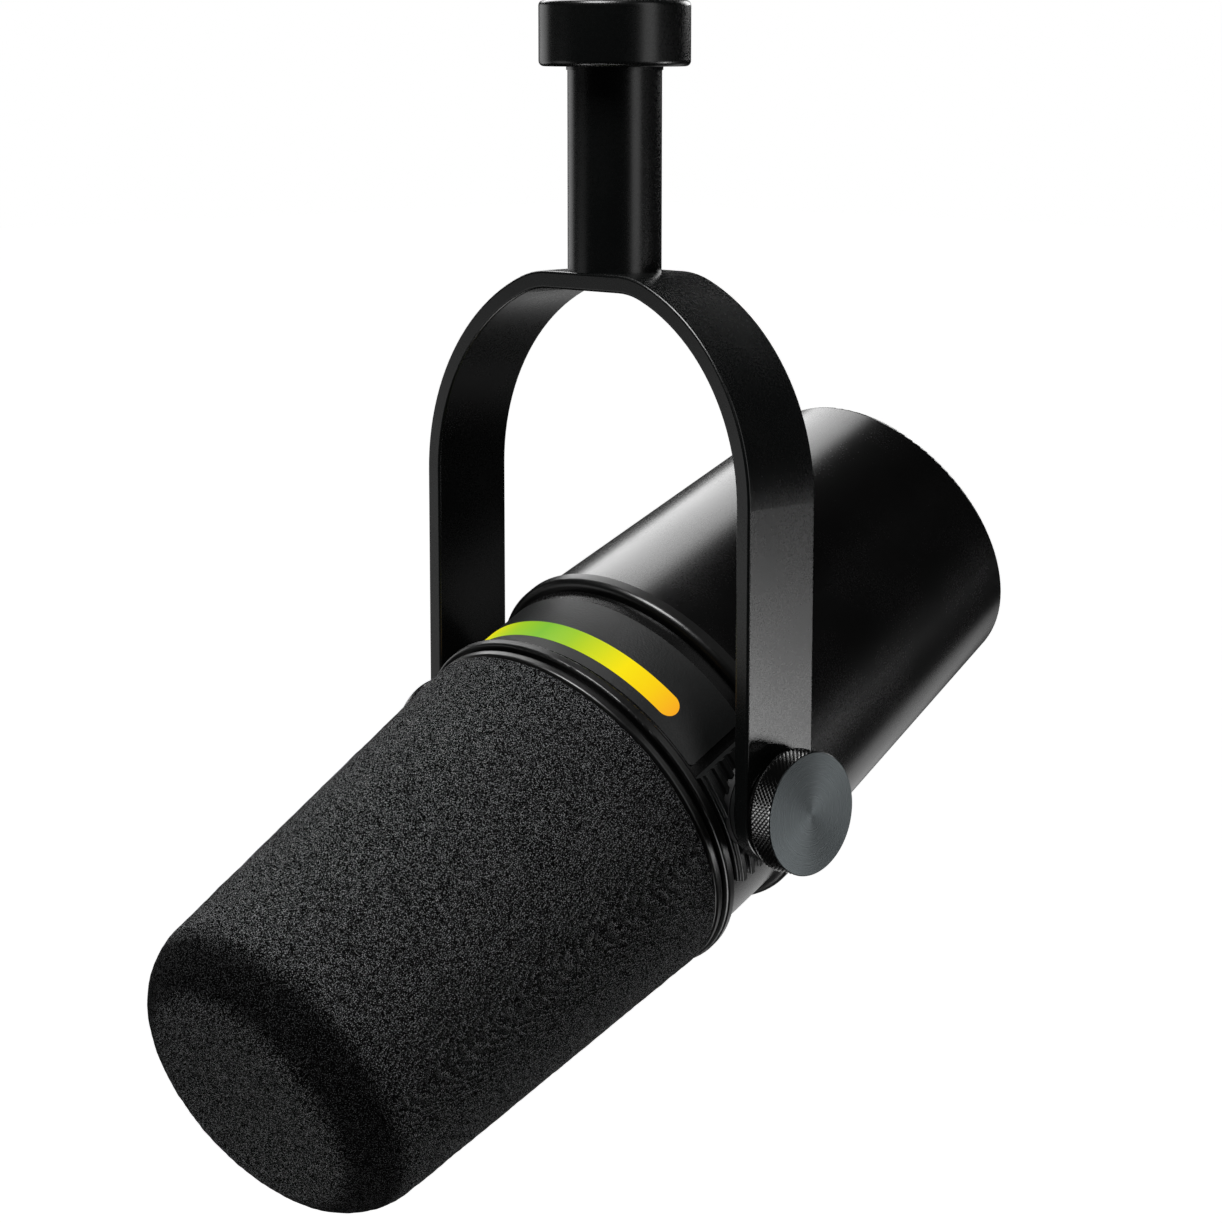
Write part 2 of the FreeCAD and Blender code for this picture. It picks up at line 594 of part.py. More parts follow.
stem_screw, feature = upright("stem_screw", [
    ("0", "yoke_rise - arm_thick + play"), ("screw_head_r", "yoke_rise - arm_thick + play"),
    ("screw_r", "yoke_rise - arm_thick + sink_len"), ("screw_r", "screw_top"), ("0", "screw_top")], AT_PIVOT)
socket = new_sketch(stem_screw, "socket", "XY_Plane")
hexagon = [FreeCAD.Vector(cell("socket_r") * math.cos(math.radians(60 * i)),
                          cell("socket_r") * math.sin(math.radians(60 * i)), 0) for i in range(6)]
for i in range(6):
    socket.addGeometry(Part.LineSegment(hexagon[i], hexagon[(i + 1) % 6]), False)
    socket.addConstraint(Sketcher.Constraint("Block", i))
socket_cut = stem_screw.newObject("PartDesign::Pocket", "stem_screw_socket_cut")
socket_cut.Profile = socket
socket_cut.setExpression("Length", bound("yoke_rise - arm_thick + play + socket_len"))
socket_cut.Reversed = True

# ---------------------------------------------------------------- pivot hardware, one set each side
def pivot_set(side, spin):
    """Knob, stud, washer, bushing and ribbed pad of one side."""
    turned = AT_PIVOT.multiply(spin)
    knob, body_of_knob = pivot_part("knob_" + side, [
        ("hub_back", "stud_hole_r"), ("hub_back", "hub_r"), ("knob_face - knob_len", "hub_r"),
        ("knob_face - knob_len", "knob_r"), ("knob_face", "knob_r"), ("knob_face", "0"),
        ("stud_tip + play", "0"), ("stud_tip + play", "stud_hole_r")], turned)
    edges = rims(body_of_knob, cell("knob_r"), X_AXIS, cell("knob_face"))
    edges += rims(body_of_knob, cell("knob_r"), X_AXIS, value("knob_face - knob_len"))
    dress(knob, body_of_knob, "Chamfer", edges, "knob_edge")
    stud, _ = pivot_part("knob_stud_" + side, [
        ("stud_start", "0"), ("stud_start", "stud_r"), ("stud_tip", "stud_r"), ("stud_tip", "0")], turned)
    tilted = HEAD.multiply(spin)
    washer, _ = pivot_part("friction_washer_" + side, [
        ("washer_start", "washer_hole_r"), ("washer_start", "washer_r"),
        ("washer_end", "washer_r"), ("washer_end", "washer_hole_r")], tilted)
    bushing, _ = pivot_part("pivot_bushing_" + side, [
        ("bushing_start", "stud_hole_r"), ("bushing_start", "bushing_r"), ("bushing_seat", "bushing_r"),
        ("bushing_seat", "bushing_flange_r"), ("bushing_face", "bushing_flange_r"),
        ("bushing_face", "stud_hole_r")], tilted)
    side_pad = new_body("side_pad_" + side, tilted)
    outline = [("pad_r", "pad_half"), ("pad_r", "- pad_half"), ("pad_floor_r", "- pad_half")]
    for rib in range(RIBS):
        start = "%d*rib_pitch - rib_first" % rib
        outline += [("pad_floor_r", start), ("pad_rib_r", start),
                    ("pad_rib_r", start + " + rib_width"), ("pad_floor_r", start + " + rib_width")]
    outline.append(("pad_floor_r", "pad_half"))
    turn(side_pad, polygon(side_pad, "outline", "XY_Plane", outline), "V_Axis", angle="pad_arc")
    cut_through(side_pad, circle(side_pad, "hole", "YZ_Plane", "0", "0", "pad_hole_r"))
    return knob, stud, washer, bushing, side_pad


right_set = pivot_set("right", FreeCAD.Placement())
left_set = pivot_set("left", HALF_TURN)

# ---------------------------------------------------------------- neck, touch panel and light strip
neck_housing, feature = round_part("neck_housing", [
    ("neck_inner_r", "- spigot_back"), ("spigot_r", "- spigot_back"), ("spigot_r", "- neck_back"),
    ("neck_r", "- neck_back"), ("neck_r", "neck_front"), ("nose_spigot_r", "neck_front"),
    ("nose_spigot_r", "nose_spigot_front"), ("lead_hole_r", "nose_spigot_front"),
    ("lead_hole_r", "bulkhead_back"), ("neck_inner_r", "bulkhead_back")])
back_rim = rims(feature, cell("neck_r"), Y_AXIS, cell("neck_back"))
dress(neck_housing, feature, "Chamfer", back_rim, "neck_edge")
arc_groove(neck_housing, "recess", "recess_r", "cut_r", "- recess_back", "recess_front", "recess_arc")
arc_groove(neck_housing, "light_bay", "bay_r", "cut_r", "bay_back", "bay_front", "bay_arc")
cut_through(neck_housing, circle(neck_housing, "bushing_hole", "YZ_Plane", "0", "0", "bushing_hole_r"))


def strip_solid(label, r_in, r_out, half):
    """Curved bar with round ends: a ring sector and one radial cylinder at each end."""
    bar = arc_part(label + "_bar", r_in, r_out, "strip_mid - " + half, "strip_mid + " + half, "strip_arc")
    pieces = [bar]
    for side, sign in (("a", 1.0), ("b", -1.0)):
        end = doc.addObject("Part::Cylinder", label + "_end_" + side)
        end.setExpression("Radius", bound(half))
        end.setExpression("Height", bound(r_out + " - " + r_in + " + 1"))
        lean = FreeCAD.Rotation(Y_AXIS, sign * cell("strip_arc") / 2)
        foot = lean.multVec(FreeCAD.Vector(0, 0, value(r_in) - 0.5))
        start = FreeCAD.Vector(0, -cell("strip_mid"), 0) + foot
        end.Placement = HEAD.multiply(FreeCAD.Placement(start, lean))
        pieces.append(end)
    whole = doc.addObject("Part::MultiFuse", label)
    whole.Shapes = pieces
    return whole


slot_tool = strip_solid("slot_tool", "recess_r - 1", "cut_r", "strip_half")
panel_blank = arc_part("panel_blank", "panel_floor_r", "panel_r", "- panel_back", "panel_front", "panel_arc")
touch_panel = doc.addObject("Part::Cut", "touch_panel")
touch_panel.Base, touch_panel.Tool = panel_blank, slot_tool

guide_tool = strip_solid("guide_tool", "recess_r - 1", "cut_r", "guide_half")
guide_blank = arc_part("guide_blank", "guide_floor_r", "guide_top_r", "bay_back", "bay_front", "bay_arc")
led_light_guide = doc.addObject("Part::Common", "led_light_guide")
led_light_guide.Base, led_light_guide.Tool = guide_blank, guide_tool

led_board = arc_part("led_board", "board_floor_r", "board_top_r", "board_back", "board_front", "board_arc")

lamps = []
for i in range(LAMPS):
    lamp = doc.addObject("Part::Box", "lamp%d" % i)
    lamp.setExpression("Length", bound("lamp_side"))
    lamp.setExpression("Width", bound("lamp_side"))
    lamp.setExpression("Height", bound("lamp_len"))
    lean = FreeCAD.Rotation(Y_AXIS, cell("strip_arc") * (i / (LAMPS - 1) - 0.5))
    # the foot sits just clear of the board's curved face
    foot = FreeCAD.Vector(-cell("lamp_side") / 2, -cell("lamp_side") / 2, value("board_top_r + play"))
    lamp.Placement = HEAD.multiply(FreeCAD.Placement(
        FreeCAD.Vector(0, -cell("strip_mid"), 0) + lean.multVec(foot), lean))
    lamps.append(lamp)
leds = doc.addObject("Part::Compound", "leds")
leds.Links = lamps

bezel_ring, feature = round_part("bezel_ring", [
    ("collar_hole_r", "neck_front"), ("bezel_r", "neck_front"),
    ("bezel_r", "bezel_front"), ("collar_hole_r", "bezel_front")])
edges = rims(feature, cell("bezel_r"), Y_AXIS, -cell("neck_front"))
edges += rims(feature, cell("bezel_r"), Y_AXIS, -cell("bezel_front"))
dress(bezel_ring, feature, "Fillet", edges, "bezel_edge")

rim_ring, feature = round_part("rim_ring", [
    ("collar_hole_r", "bezel_front"), ("rim_waist_r", "bezel_front"), ("rim_waist_r", "rim_back"),
    ("rim_r", "rim_back"), ("rim_r", "rim_front"), ("collar_hole_r", "rim_front")])
edges = rims(feature, cell("rim_r"), Y_AXIS, -cell("rim_back"))
edges += rims(feature, cell("rim_r"), Y_AXIS, -cell("rim_front"))
dress(rim_ring, feature, "Fillet", edges, "rim_edge")

# ---------------------------------------------------------------- grille and foam windscreen
grille, feature = round_part("grille", [
    ("grille_base_r - grille_wall", "grille_foot"), ("grille_lip_r", "grille_foot"),
    ("grille_lip_r", "grille_step"), ("grille_base_r", "grille_step"), ("grille_nose_r", "grille_nose"),
    ("grille_tip_r", "grille_tip"), ("0", "grille_tip"), ("0", "grille_tip - grille_wall"),
    ("grille_tip_r - grille_wall", "grille_tip - grille_wall"),
    ("grille_nose_r - grille_wall", "grille_nose - grille_wall")])

windscreen, feature = round_part("windscreen", [
    ("foam_lip_r", "foam_base"), ("foam_base_r", "foam_base"), ("foam_nose_r", "foam_tip"),
    ("0", "foam_tip"), ("0", "grille_tip + foam_gap"), ("grille_tip_r + foam_gap", "grille_tip + foam_gap"),
    ("grille_nose_r + foam_gap", "grille_nose + foam_gap"), ("grille_base_r + foam_gap", "foam_step"),
    ("foam_lip_r", "foam_step")])
nose = rims(feature, cell("foam_nose_r"), Y_AXIS, -cell("foam_tip"))
dress(windscreen, feature, "Fillet", nose, "foam_round")

# ---------------------------------------------------------------- rear housing and end cap
rear_trim_ring, feature = round_part("rear_trim_ring", [
    ("trim_hole_r", "- trim_back"), ("trim_r", "- trim_back"), ("trim_r", "- neck_back"),
    ("trim_hole_r", "- neck_back")])
front_rim = rims(feature, cell("trim_r"), Y_AXIS, cell("neck_back"))
dress(rear_trim_ring, feature, "Fillet", front_rim, "trim_edge")

rear_housing, feature = round_part("rear_housing", [
    ("tube_mouth_r", "- trim_back"), ("tube_front_r", "- trim_back"), ("tube_back_r", "- tube_end"),
    ("cap_hole_r", "- tube_end"), ("cap_hole_r", "- cap_seat"), ("shoulder_r", "- cap_seat"),
    ("shoulder_r", "- shoulder_end"), ("tube_inner_r", "- shoulder_end")])
end_rim = rims(feature, cell("tube_back_r"), Y_AXIS, cell("tube_end"))
dress(rear_housing, feature, "Fillet", end_rim, "tube_edge")

end_cap, feature = round_part("end_cap", [
    ("0", "- cap_seat"), ("cap_r", "- cap_seat"), ("cap_r", "- cap_face"), ("0", "- cap_face")])
cut_through(end_cap, circle(end_cap, "xlr_hole", "XZ_Plane", "0", "- xlr_drop", "xlr_hole_r"))
cut_through(end_cap, circle(end_cap, "jack_hole", "XZ_Plane", "jack_side", "jack_rise", "jack_hole_r"))
usb_hole = stadium(end_cap, "usb_hole", "XZ_Plane", "usb_half", "usb_hole_r", "- usb_side", "usb_rise")
cut_through(end_cap, usb_hole)

screws = []
for i, angle in enumerate(CAP_SCREW_ANGLES):
    x = cell("cap_screw_pcr") * math.cos(math.radians(angle))
    z = cell("cap_screw_pcr") * math.sin(math.radians(angle))
    spot = HEAD.multiply(FreeCAD.Placement(FreeCAD.Vector(x, 0, z), FreeCAD.Rotation()))
    screw, _ = round_part("cap_screw%d" % i, [
        ("0", "- cap_face - cap_head_len"), ("cap_head_r", "- cap_face - cap_head_len"),
        ("cap_head_r", "- cap_face - play"), ("cap_screw_r", "- cap_face - play"),
        ("cap_screw_r", "- cap_screw_end"), ("0", "- cap_screw_end")], spot)
    screws.append(screw)
    for body in (end_cap, rear_housing):
        hole = new_sketch(body, "screw_hole%d" % i, "XZ_Plane")
        hole.addGeometry(Part.Circle(FreeCAD.Vector(x, z, 0), FreeCAD.Vector(0, 0, 1),
                                     cell("cap_screw_hole_r")), False)
        hole.addConstraint(Sketcher.Constraint("DistanceX", -1, 1, 0, 3, x) if abs(x) > 1e-6
                           else Sketcher.Constraint("PointOnObject", 0, 3, -2))
        hole.addConstraint(Sketcher.Constraint("DistanceY", -1, 1, 0, 3, z))
        index = hole.addConstraint(Sketcher.Constraint("Radius", 0, cell("cap_screw_hole_r")))
        hole.setExpression("Constraints[%d]" % index, bound("cap_screw_hole_r"))
        cut_through(body, hole)
cap_screws = doc.addObject("Part::Compound", "cap_screws")
cap_screws.Links = screws

# ---------------------------------------------------------------- connectors and main board
xlr_pose = shifted("0", "- xlr_drop")
xlr_shell, feature = round_part("xlr_shell", [
    ("xlr_cavity_r", "- xlr_end"), ("xlr_r", "- xlr_end"), ("xlr_r", "- cap_face - play"),
    ("xlr_flange_r", "- cap_face - play"), ("xlr_flange_r", "- xlr_face"), ("xlr_cavity_r", "- xlr_face")],
    xlr_pose)
xlr_insert, feature = round_part("xlr_insert", [
    ("0", "- xlr_end"), ("xlr_insert_r", "- xlr_end"), ("xlr_insert_r", "- xlr_floor"), ("0", "- xlr_floor")],
    xlr_pose)
pins = []
for i, angle in enumerate(PIN_ANGLES):
    offset = FreeCAD.Vector(cell("pin_pcr") * math.cos(math.radians(angle)), 0,
                            cell("pin_pcr") * math.sin(math.radians(angle)))
    contact, feature = round_part("pin%d" % i, [
        ("0", "- xlr_floor"), ("pin_r", "- xlr_floor"), ("pin_r", "- pin_tip"), ("0", "- pin_tip")],
        xlr_pose.multiply(FreeCAD.Placement(offset, FreeCAD.Rotation())))
    tip = rims(feature, cell("pin_r"), Y_AXIS, cell("pin_tip"))
    dress(contact, feature, "Fillet", tip, "pin_r - 0.4")
    pins.append(contact)
xlr_pins = doc.addObject("Part::Compound", "xlr_pins")
xlr_pins.Links = pins

usb_pose = shifted("- usb_side", "usb_rise")
usb_c_shell = new_body("usb_c_shell", usb_pose)
outside = stadium(usb_c_shell, "outline", "XZ_Plane", "usb_half", "usb_r", "0", "0")
usb_block = pad(usb_c_shell, outside, "usb_face", midplane=False, back=True)
inside = stadium(usb_c_shell, "mouth", "XZ_Plane", "usb_half", "usb_inner_r", "0", "0")
usb_mouth = usb_c_shell.newObject("PartDesign::Pocket", "usb_c_shell_mouth_cut")
usb_mouth.Profile = inside
usb_mouth.Type = 1
usb_mouth.Midplane = True
trim = polygon(usb_c_shell, "length", "YZ_Plane", [
    ("- 1", "- usb_r - 1"), ("usb_end", "- usb_r - 1"), ("usb_end", "usb_r + 1"), ("- 1", "usb_r + 1")])
cut_through(usb_c_shell, trim)

usb_c_tongue = new_body("usb_c_tongue", usb_pose)
floor = stadium(usb_c_tongue, "floor", "XZ_Plane", "usb_half", "usb_inner_r - play", "0", "0")
pad(usb_c_tongue, floor, "usb_end + usb_wall", midplane=False, back=True)
trim = polygon(usb_c_tongue, "length", "YZ_Plane", [
    ("- 1", "- usb_r - 1"), ("usb_end", "- usb_r - 1"), ("usb_end", "usb_r + 1"), ("- 1", "usb_r + 1")])
cut_through(usb_c_tongue, trim)
blade = polygon(usb_c_tongue, "blade", "XY_Plane", [
    ("- 0.5*tongue_width", "usb_end + 0.5*usb_wall"), ("0.5*tongue_width", "usb_end + 0.5*usb_wall"),
    ("0.5*tongue_width", "usb_end + usb_wall + tongue_len"),
    ("- 0.5*tongue_width", "usb_end + usb_wall + tongue_len")])
pad(usb_c_tongue, blade, "tongue_thick")

headphone_jack, feature = round_part("headphone_jack", [
    ("0", "- jack_end"), ("jack_r", "- jack_end"), ("jack_r", "- cap_face - play"),
    ("jack_flange_r", "- cap_face - play"), ("jack_flange_r", "- jack_face"), ("jack_bore_r", "- jack_face"),
    ("jack_bore_r", "- jack_floor"), ("0", "- jack_floor")], shifted("jack_side", "jack_rise"))

main_board = new_body("main_board", shifted("0", "pcb_rise + 0.5*pcb_thick"))
board = polygon(main_board, "outline", "XY_Plane", [
    ("- pcb_half", "pcb_front"), ("pcb_half", "pcb_front"),
    ("pcb_half", "pcb_back"), ("- pcb_half", "pcb_back")])
pad(main_board, board, "pcb_thick")

# ---------------------------------------------------------------- moving-coil cartridge
capsule_case, feature = round_part("capsule_case", [
    ("0", "case_back"), ("case_r", "case_back"), ("case_r", "case_front"), ("case_bore_r", "case_front"),
    ("case_bore_r", "case_floor"), ("0", "case_floor")])

capsule_cover, feature = round_part("capsule_cover", [
    ("0", "case_front"), ("cover_r", "case_front"), ("cover_r", "cover_front"), ("0", "cover_front")])
for i in range(COVER_HOLES):
    angle = math.radians(360.0 * i / COVER_HOLES)
    spot = FreeCAD.Vector(math.cos(angle), math.sin(angle), 0) * cell("cover_hole_pcr")
    hole = new_sketch(capsule_cover, "hole%d" % i, "XZ_Plane")
    hole.addGeometry(Part.Circle(spot, FreeCAD.Vector(0, 0, 1), cell("cover_hole_r")), False)
    hole.addConstraint(Sketcher.Constraint("Block", 0))
    cut_through(capsule_cover, hole)

pole_piece, feature = round_part("pole_piece", [
    ("0", "case_floor"), ("motor_r", "case_floor"), ("motor_r", "plate_front"), ("pole_r", "plate_front"),
    ("pole_r", "pole_tip"), ("0", "pole_tip")])
magnet, feature = round_part("magnet", [
    ("magnet_hole_r", "plate_front"), ("motor_r", "plate_front"), ("motor_r", "magnet_front"),
    ("magnet_hole_r", "magnet_front")])
top_plate, feature = round_part("top_plate", [
    ("gap_r", "magnet_front"), ("motor_r", "magnet_front"), ("motor_r", "pole_tip"), ("gap_r", "pole_tip")])
voice_coil, feature = round_part("voice_coil", [
    ("coil_in_r", "coil_back"), ("coil_out_r", "coil_back"), ("coil_out_r", "dome_back"),
    ("coil_in_r", "dome_back")])
diaphragm, feature = round_part("diaphragm", [
    ("0", "dome_back + dome_rise"), ("coil_in_r", "dome_back"), ("dome_r", "dome_back"),
    ("dome_r", "dome_front"), ("coil_in_r", "dome_front"), ("0", "dome_front + dome_rise")])
suspension_back, feature = round_part("suspension_back", [
    ("mount_in_r", "mount_back_at"), ("mount_back_r", "mount_back_at"),
    ("mount_back_r", "mount_back_at + mount_len"), ("mount_in_r", "mount_back_at + mount_len")])
suspension_front, feature = round_part("suspension_front", [
    ("mount_in_r", "mount_front_at"), ("mount_front_r", "mount_front_at"),
    ("mount_front_r", "mount_front_at + mount_len"), ("mount_in_r", "mount_front_at + mount_len")])

# ---------------------------------------------------------------- checks and export
finish(stand_nut, nut_retaining_ring, stem_tube, yoke_strap, stem_screw)
finish(*right_set)
finish(*left_set)
finish(neck_housing, touch_panel, led_light_guide, led_board, leds, bezel_ring, rim_ring, grille, windscreen)
finish(rear_trim_ring, rear_housing, end_cap, cap_screws)
finish(xlr_shell, xlr_insert, xlr_pins, usb_c_shell, usb_c_tongue, headphone_jack, main_board)
finish(capsule_case, capsule_cover, pole_piece, magnet, top_plate, voice_coil, diaphragm)
finish(suspension_back, suspension_front)

doc.recompute()
for item in doc.Objects:
    if "Invalid" in item.State or "Error" in item.State:
        raise RuntimeError(item.Name + " failed: " + ", ".join(item.State))
for node in nodes:
    shape = node.Shape
    if shape.isNull() or not shape.isValid() or not shape.Solids:
        raise RuntimeError(node.Label + " has no valid solid")
    shape.exportStep("parts/" + node.Label + ".step")
    print("%-24s %9.1f mm3  %d solids" % (node.Label, shape.Volume, len(shape.Solids)))
print(len(nodes), "nodes")
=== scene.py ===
import json
import math

import bmesh
import bpy
import numpy as np
from mathutils import Matrix, Vector


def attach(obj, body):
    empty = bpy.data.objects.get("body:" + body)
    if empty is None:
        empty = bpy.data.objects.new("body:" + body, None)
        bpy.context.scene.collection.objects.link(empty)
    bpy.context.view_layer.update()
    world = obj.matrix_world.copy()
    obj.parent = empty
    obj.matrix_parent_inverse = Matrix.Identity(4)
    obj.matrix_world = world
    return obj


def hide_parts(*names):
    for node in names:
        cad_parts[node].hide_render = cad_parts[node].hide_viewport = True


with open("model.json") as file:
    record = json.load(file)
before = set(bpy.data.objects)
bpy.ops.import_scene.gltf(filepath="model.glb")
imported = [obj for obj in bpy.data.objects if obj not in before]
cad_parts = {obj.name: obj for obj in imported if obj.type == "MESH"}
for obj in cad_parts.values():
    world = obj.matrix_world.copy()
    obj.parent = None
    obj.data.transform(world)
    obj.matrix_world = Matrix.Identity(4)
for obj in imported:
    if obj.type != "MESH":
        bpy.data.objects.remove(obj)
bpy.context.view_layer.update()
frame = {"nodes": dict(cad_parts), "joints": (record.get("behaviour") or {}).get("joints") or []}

# Broadcast microphone in a U-shaped yoke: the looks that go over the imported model.
# Lengths are written in millimetres and turned to metres where they enter Blender.

MM = 0.001

# ---------------------------------------------------------------- the head's own frame
joints = {joint["name"]: joint for joint in frame["joints"]}
PIVOT = np.array(joints["head_tilt"]["pos_m"], float)
SIDE = np.array((1.0, 0.0, 0.0))
FRONT = np.array(joints["windscreen_pull"]["axis"], float)
FRONT /= np.linalg.norm(FRONT)
OVER = np.cross(FRONT, SIDE)

HEAD = (PIVOT, SIDE, OVER, FRONT)                       # origin, two radial directions, axis
STAND = (np.zeros(3), np.array((1.0, 0, 0)), np.array((0, 1.0, 0)), np.array((0, 0, -1.0)))
RIGHT = (PIVOT, np.array((0, 1.0, 0)), np.array((0, 0, 1.0)), SIDE)
LEFT = (PIVOT, np.array((0, -1.0, 0)), np.array((0, 0, 1.0)), -SIDE)

# ---------------------------------------------------------------- surfaces
def build(name, points, faces, material, body, replaces=(), sharp=35.0, caps=()):
    """A mesh piece from metre points and index faces, turned outward by the sign of its enclosed volume.
    Caps are many-sided faces that close the ends; with them the normals are recalculated instead."""
    faces = np.asarray(faces)
    first, second, third = (points[faces[:, k]] for k in (0, 1, 2))
    volume = np.einsum("ij,ij->i", first, np.cross(second, third)).sum()
    if faces.shape[1] == 4:
        volume += np.einsum("ij,ij->i", first, np.cross(third, points[faces[:, 3]])).sum()
    if volume < 0:
        faces = faces[:, ::-1]
    mesh = bpy.data.meshes.new(name)
    mesh.from_pydata(points.tolist(), [], faces.tolist() + [list(cap) for cap in caps])
    mesh.materials.append(material)
    piece = bpy.data.objects.new(name, mesh)
    bpy.context.scene.collection.objects.link(piece)
    weld(mesh, outward=bool(caps))
    mesh.shade_smooth()
    mesh.set_sharp_from_angle(angle=math.radians(sharp))
    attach(piece, body)
    if replaces:
        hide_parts(*replaces)
    return piece


def weld(mesh, gap=1e-7, outward=False):
    """Merges points that coincide, which closes seams and poles and drops faces of no area."""
    work = bmesh.new()
    work.from_mesh(mesh)
    bmesh.ops.remove_doubles(work, verts=work.verts, dist=gap)
    bmesh.ops.dissolve_degenerate(work, edges=work.edges, dist=gap)
    if outward:
        bmesh.ops.recalc_face_normals(work, faces=work.faces)
    work.to_mesh(mesh)
    work.free()


def grid_faces(rows, columns, wrap_rows=False, wrap_columns=False):
    """Quads of a rows x columns grid of points; a wrapped direction joins its last line to its first."""
    i = np.arange(rows if wrap_rows else rows - 1)[:, None]
    j = np.arange(columns if wrap_columns else columns - 1)[None, :]
    i2, j2 = (i + 1) % rows, (j + 1) % columns
    return np.stack([i * columns + j, i2 * columns + j, i2 * columns + j2, i * columns + j2], axis=-1).reshape(-1, 4)


def placed(where, radius, angle, station):
    """Points at a radius, angle and distance along the axis of one of the frames above."""
    origin, across, upward, axis = where
    radial = np.cos(angle)[..., None] * across + np.sin(angle)[..., None] * upward
    return origin + MM * (radius[..., None] * radial + station[..., None] * axis)


def swept(where, profile, angle):
    """Points of a (radius, station) profile carried to each of a column of angles round one of the axes."""
    return placed(where, profile[None, :, 0] + 0 * angle, angle + 0 * profile[None, :, 0],
                  profile[None, :, 1] + 0 * angle)


def whole_turn(count):
    """A column of that many equal steps round a full turn."""
    return np.linspace(0, 2 * math.pi, count, endpoint=False)[:, None]


def triangle(t):
    """Triangle wave of period 1: 0 at whole numbers, 1 half way between them."""
    return 2 * np.abs(t - np.round(t))


SUPPORT = 0.12                          # support point's distance past a rounding, as a share of its radius


def rounded(corners, steps=7):
    """Profile through (radius, station, rounding) corners. Each rounding is an arc tangent to both
    neighbouring runs, with a support point just beyond it so that the flats stay flat."""
    line = []
    count = len(corners)
    for k, (r, s, rounding) in enumerate(corners):
        here = np.array((r, s), float)
        if rounding <= 0:
            line.append(here[None])
            continue
        before = np.array(corners[(k - 1) % count][:2], float) - here
        after = np.array(corners[(k + 1) % count][:2], float) - here
        before /= np.linalg.norm(before)
        after /= np.linalg.norm(after)
        half = math.acos(np.clip(before @ after, -1, 1)) / 2
        reach = rounding / math.tan(half)
        middle = here + (before + after) / np.linalg.norm(before + after) * rounding / math.sin(half)
        start, end = here + before * reach - middle, here + after * reach - middle
        sweep = math.pi - 2 * half
        t = np.linspace(0, 1, steps)[:, None]
        arc = (np.sin((1 - t) * sweep) * start + np.sin(t * sweep) * end) / math.sin(sweep)
        support = SUPPORT * rounding
        line.append((middle + start + before * support)[None])
        line.append(middle + arc)
        line.append((middle + end + after * support)[None])
    return np.concatenate(line)


def lattice_noise(points, cell, seed):
    """Smooth value noise: random values on a cubic lattice of that spacing, blended by smoothstep weights."""
    cells = points / cell
    base = np.floor(cells).astype(np.int64)
    part = cells - base
    part = part * part * (3 - 2 * part)
    total = np.zeros(len(points))
    for corner in range(8):
        shift = np.array((corner & 1, corner >> 1 & 1, corner >> 2 & 1))
        key = ((base + shift) * np.array((73856093, 19349663, 83492791))).sum(1) ^ (seed * 2654435761)
        key = (key ^ (key >> 13)) * 1274126177 & 0xFFFFFFFF
        key = (key ^ (key >> 16)) & 0xFFFF
        weight = np.where(shift, part, 1 - part).prod(1)
        total += weight * (key / 65535.0)
    return total * 2 - 1


# ---------------------------------------------------------------- material tools
def linear(code):
    """sRGB hex to linear RGBA."""
    parts = [int(code[i:i + 2], 16) / 255 for i in (1, 3, 5)]
    return tuple(c / 12.92 if c <= 0.04045 else ((c + 0.055) / 1.055) ** 2.4 for c in parts) + (1.0,)


def add(tree, kind, sockets=None, **settings):
    """One node with its settings, and its input sockets set to values or linked to outputs."""
    node = tree.nodes.new(kind)
    for name, value in settings.items():
        setattr(node, name, value)
    for socket, value in (sockets or {}).items():
        if isinstance(value, bpy.types.NodeSocket):
            tree.links.new(value, node.inputs[socket])
        else:
            node.inputs[socket].default_value = value
    return node


def finish_of(name, colour, roughness, metallic=0.0, **sockets):
    """A material with its Principled shader and object coordinates ready: (material, tree, shader, coordinates)."""
    material = bpy.data.materials.new(name)
    material.use_nodes = True
    tree = material.node_tree
    tree.nodes.clear()
    shader = add(tree, "ShaderNodeBsdfPrincipled", {
        "Base Color": linear(colour), "Roughness": roughness, "Metallic": metallic, **sockets})
    add(tree, "ShaderNodeOutputMaterial", {"Surface": shader.outputs[0]})
    place = add(tree, "ShaderNodeTexCoord").outputs["Object"]
    return material, tree, shader, place


def per_metre(size):
    """Noise scale for a feature of that size in millimetres."""
    return 1.0 / (size * MM)


DRIFT = 14                              # size of the slow change of colour and sheen


def textured(name, colours, roughness, grain, depth, metallic=0.0):
    """A coated or moulded surface: a fine grain of that size and depth in millimetres, and a slow drift
    between the two colours and roughnesses."""
    material, tree, shader, place = finish_of(name, colours[0], roughness[0], metallic)
    slow = add(tree, "ShaderNodeTexNoise", {"Vector": place, "Scale": per_metre(DRIFT), "Detail": 3.0})
    fine = add(tree, "ShaderNodeTexNoise", {"Vector": place, "Scale": per_metre(grain), "Detail": 2.0})
    mixed = add(tree, "ShaderNodeMix", {
        "Factor": slow.outputs[0], "A": linear(colours[0]), "B": linear(colours[1])}, data_type="RGBA")
    tree.links.new(mixed.outputs["Result"], shader.inputs["Base Color"])
    both = add(tree, "ShaderNodeMath", {0: slow.outputs[0], 1: fine.outputs[0]}, operation="MULTIPLY")
    rough = add(tree, "ShaderNodeMapRange", {
        "Value": both.outputs[0], "From Min": 0.12, "From Max": 0.4, "To Min": roughness[0], "To Max": roughness[1]})
    tree.links.new(rough.outputs[0], shader.inputs["Roughness"])
    bump = add(tree, "ShaderNodeBump", {
        "Height": fine.outputs[0], "Distance": depth * MM, "Strength": 1.0})
    tree.links.new(bump.outputs[0], shader.inputs["Normal"])
    return material


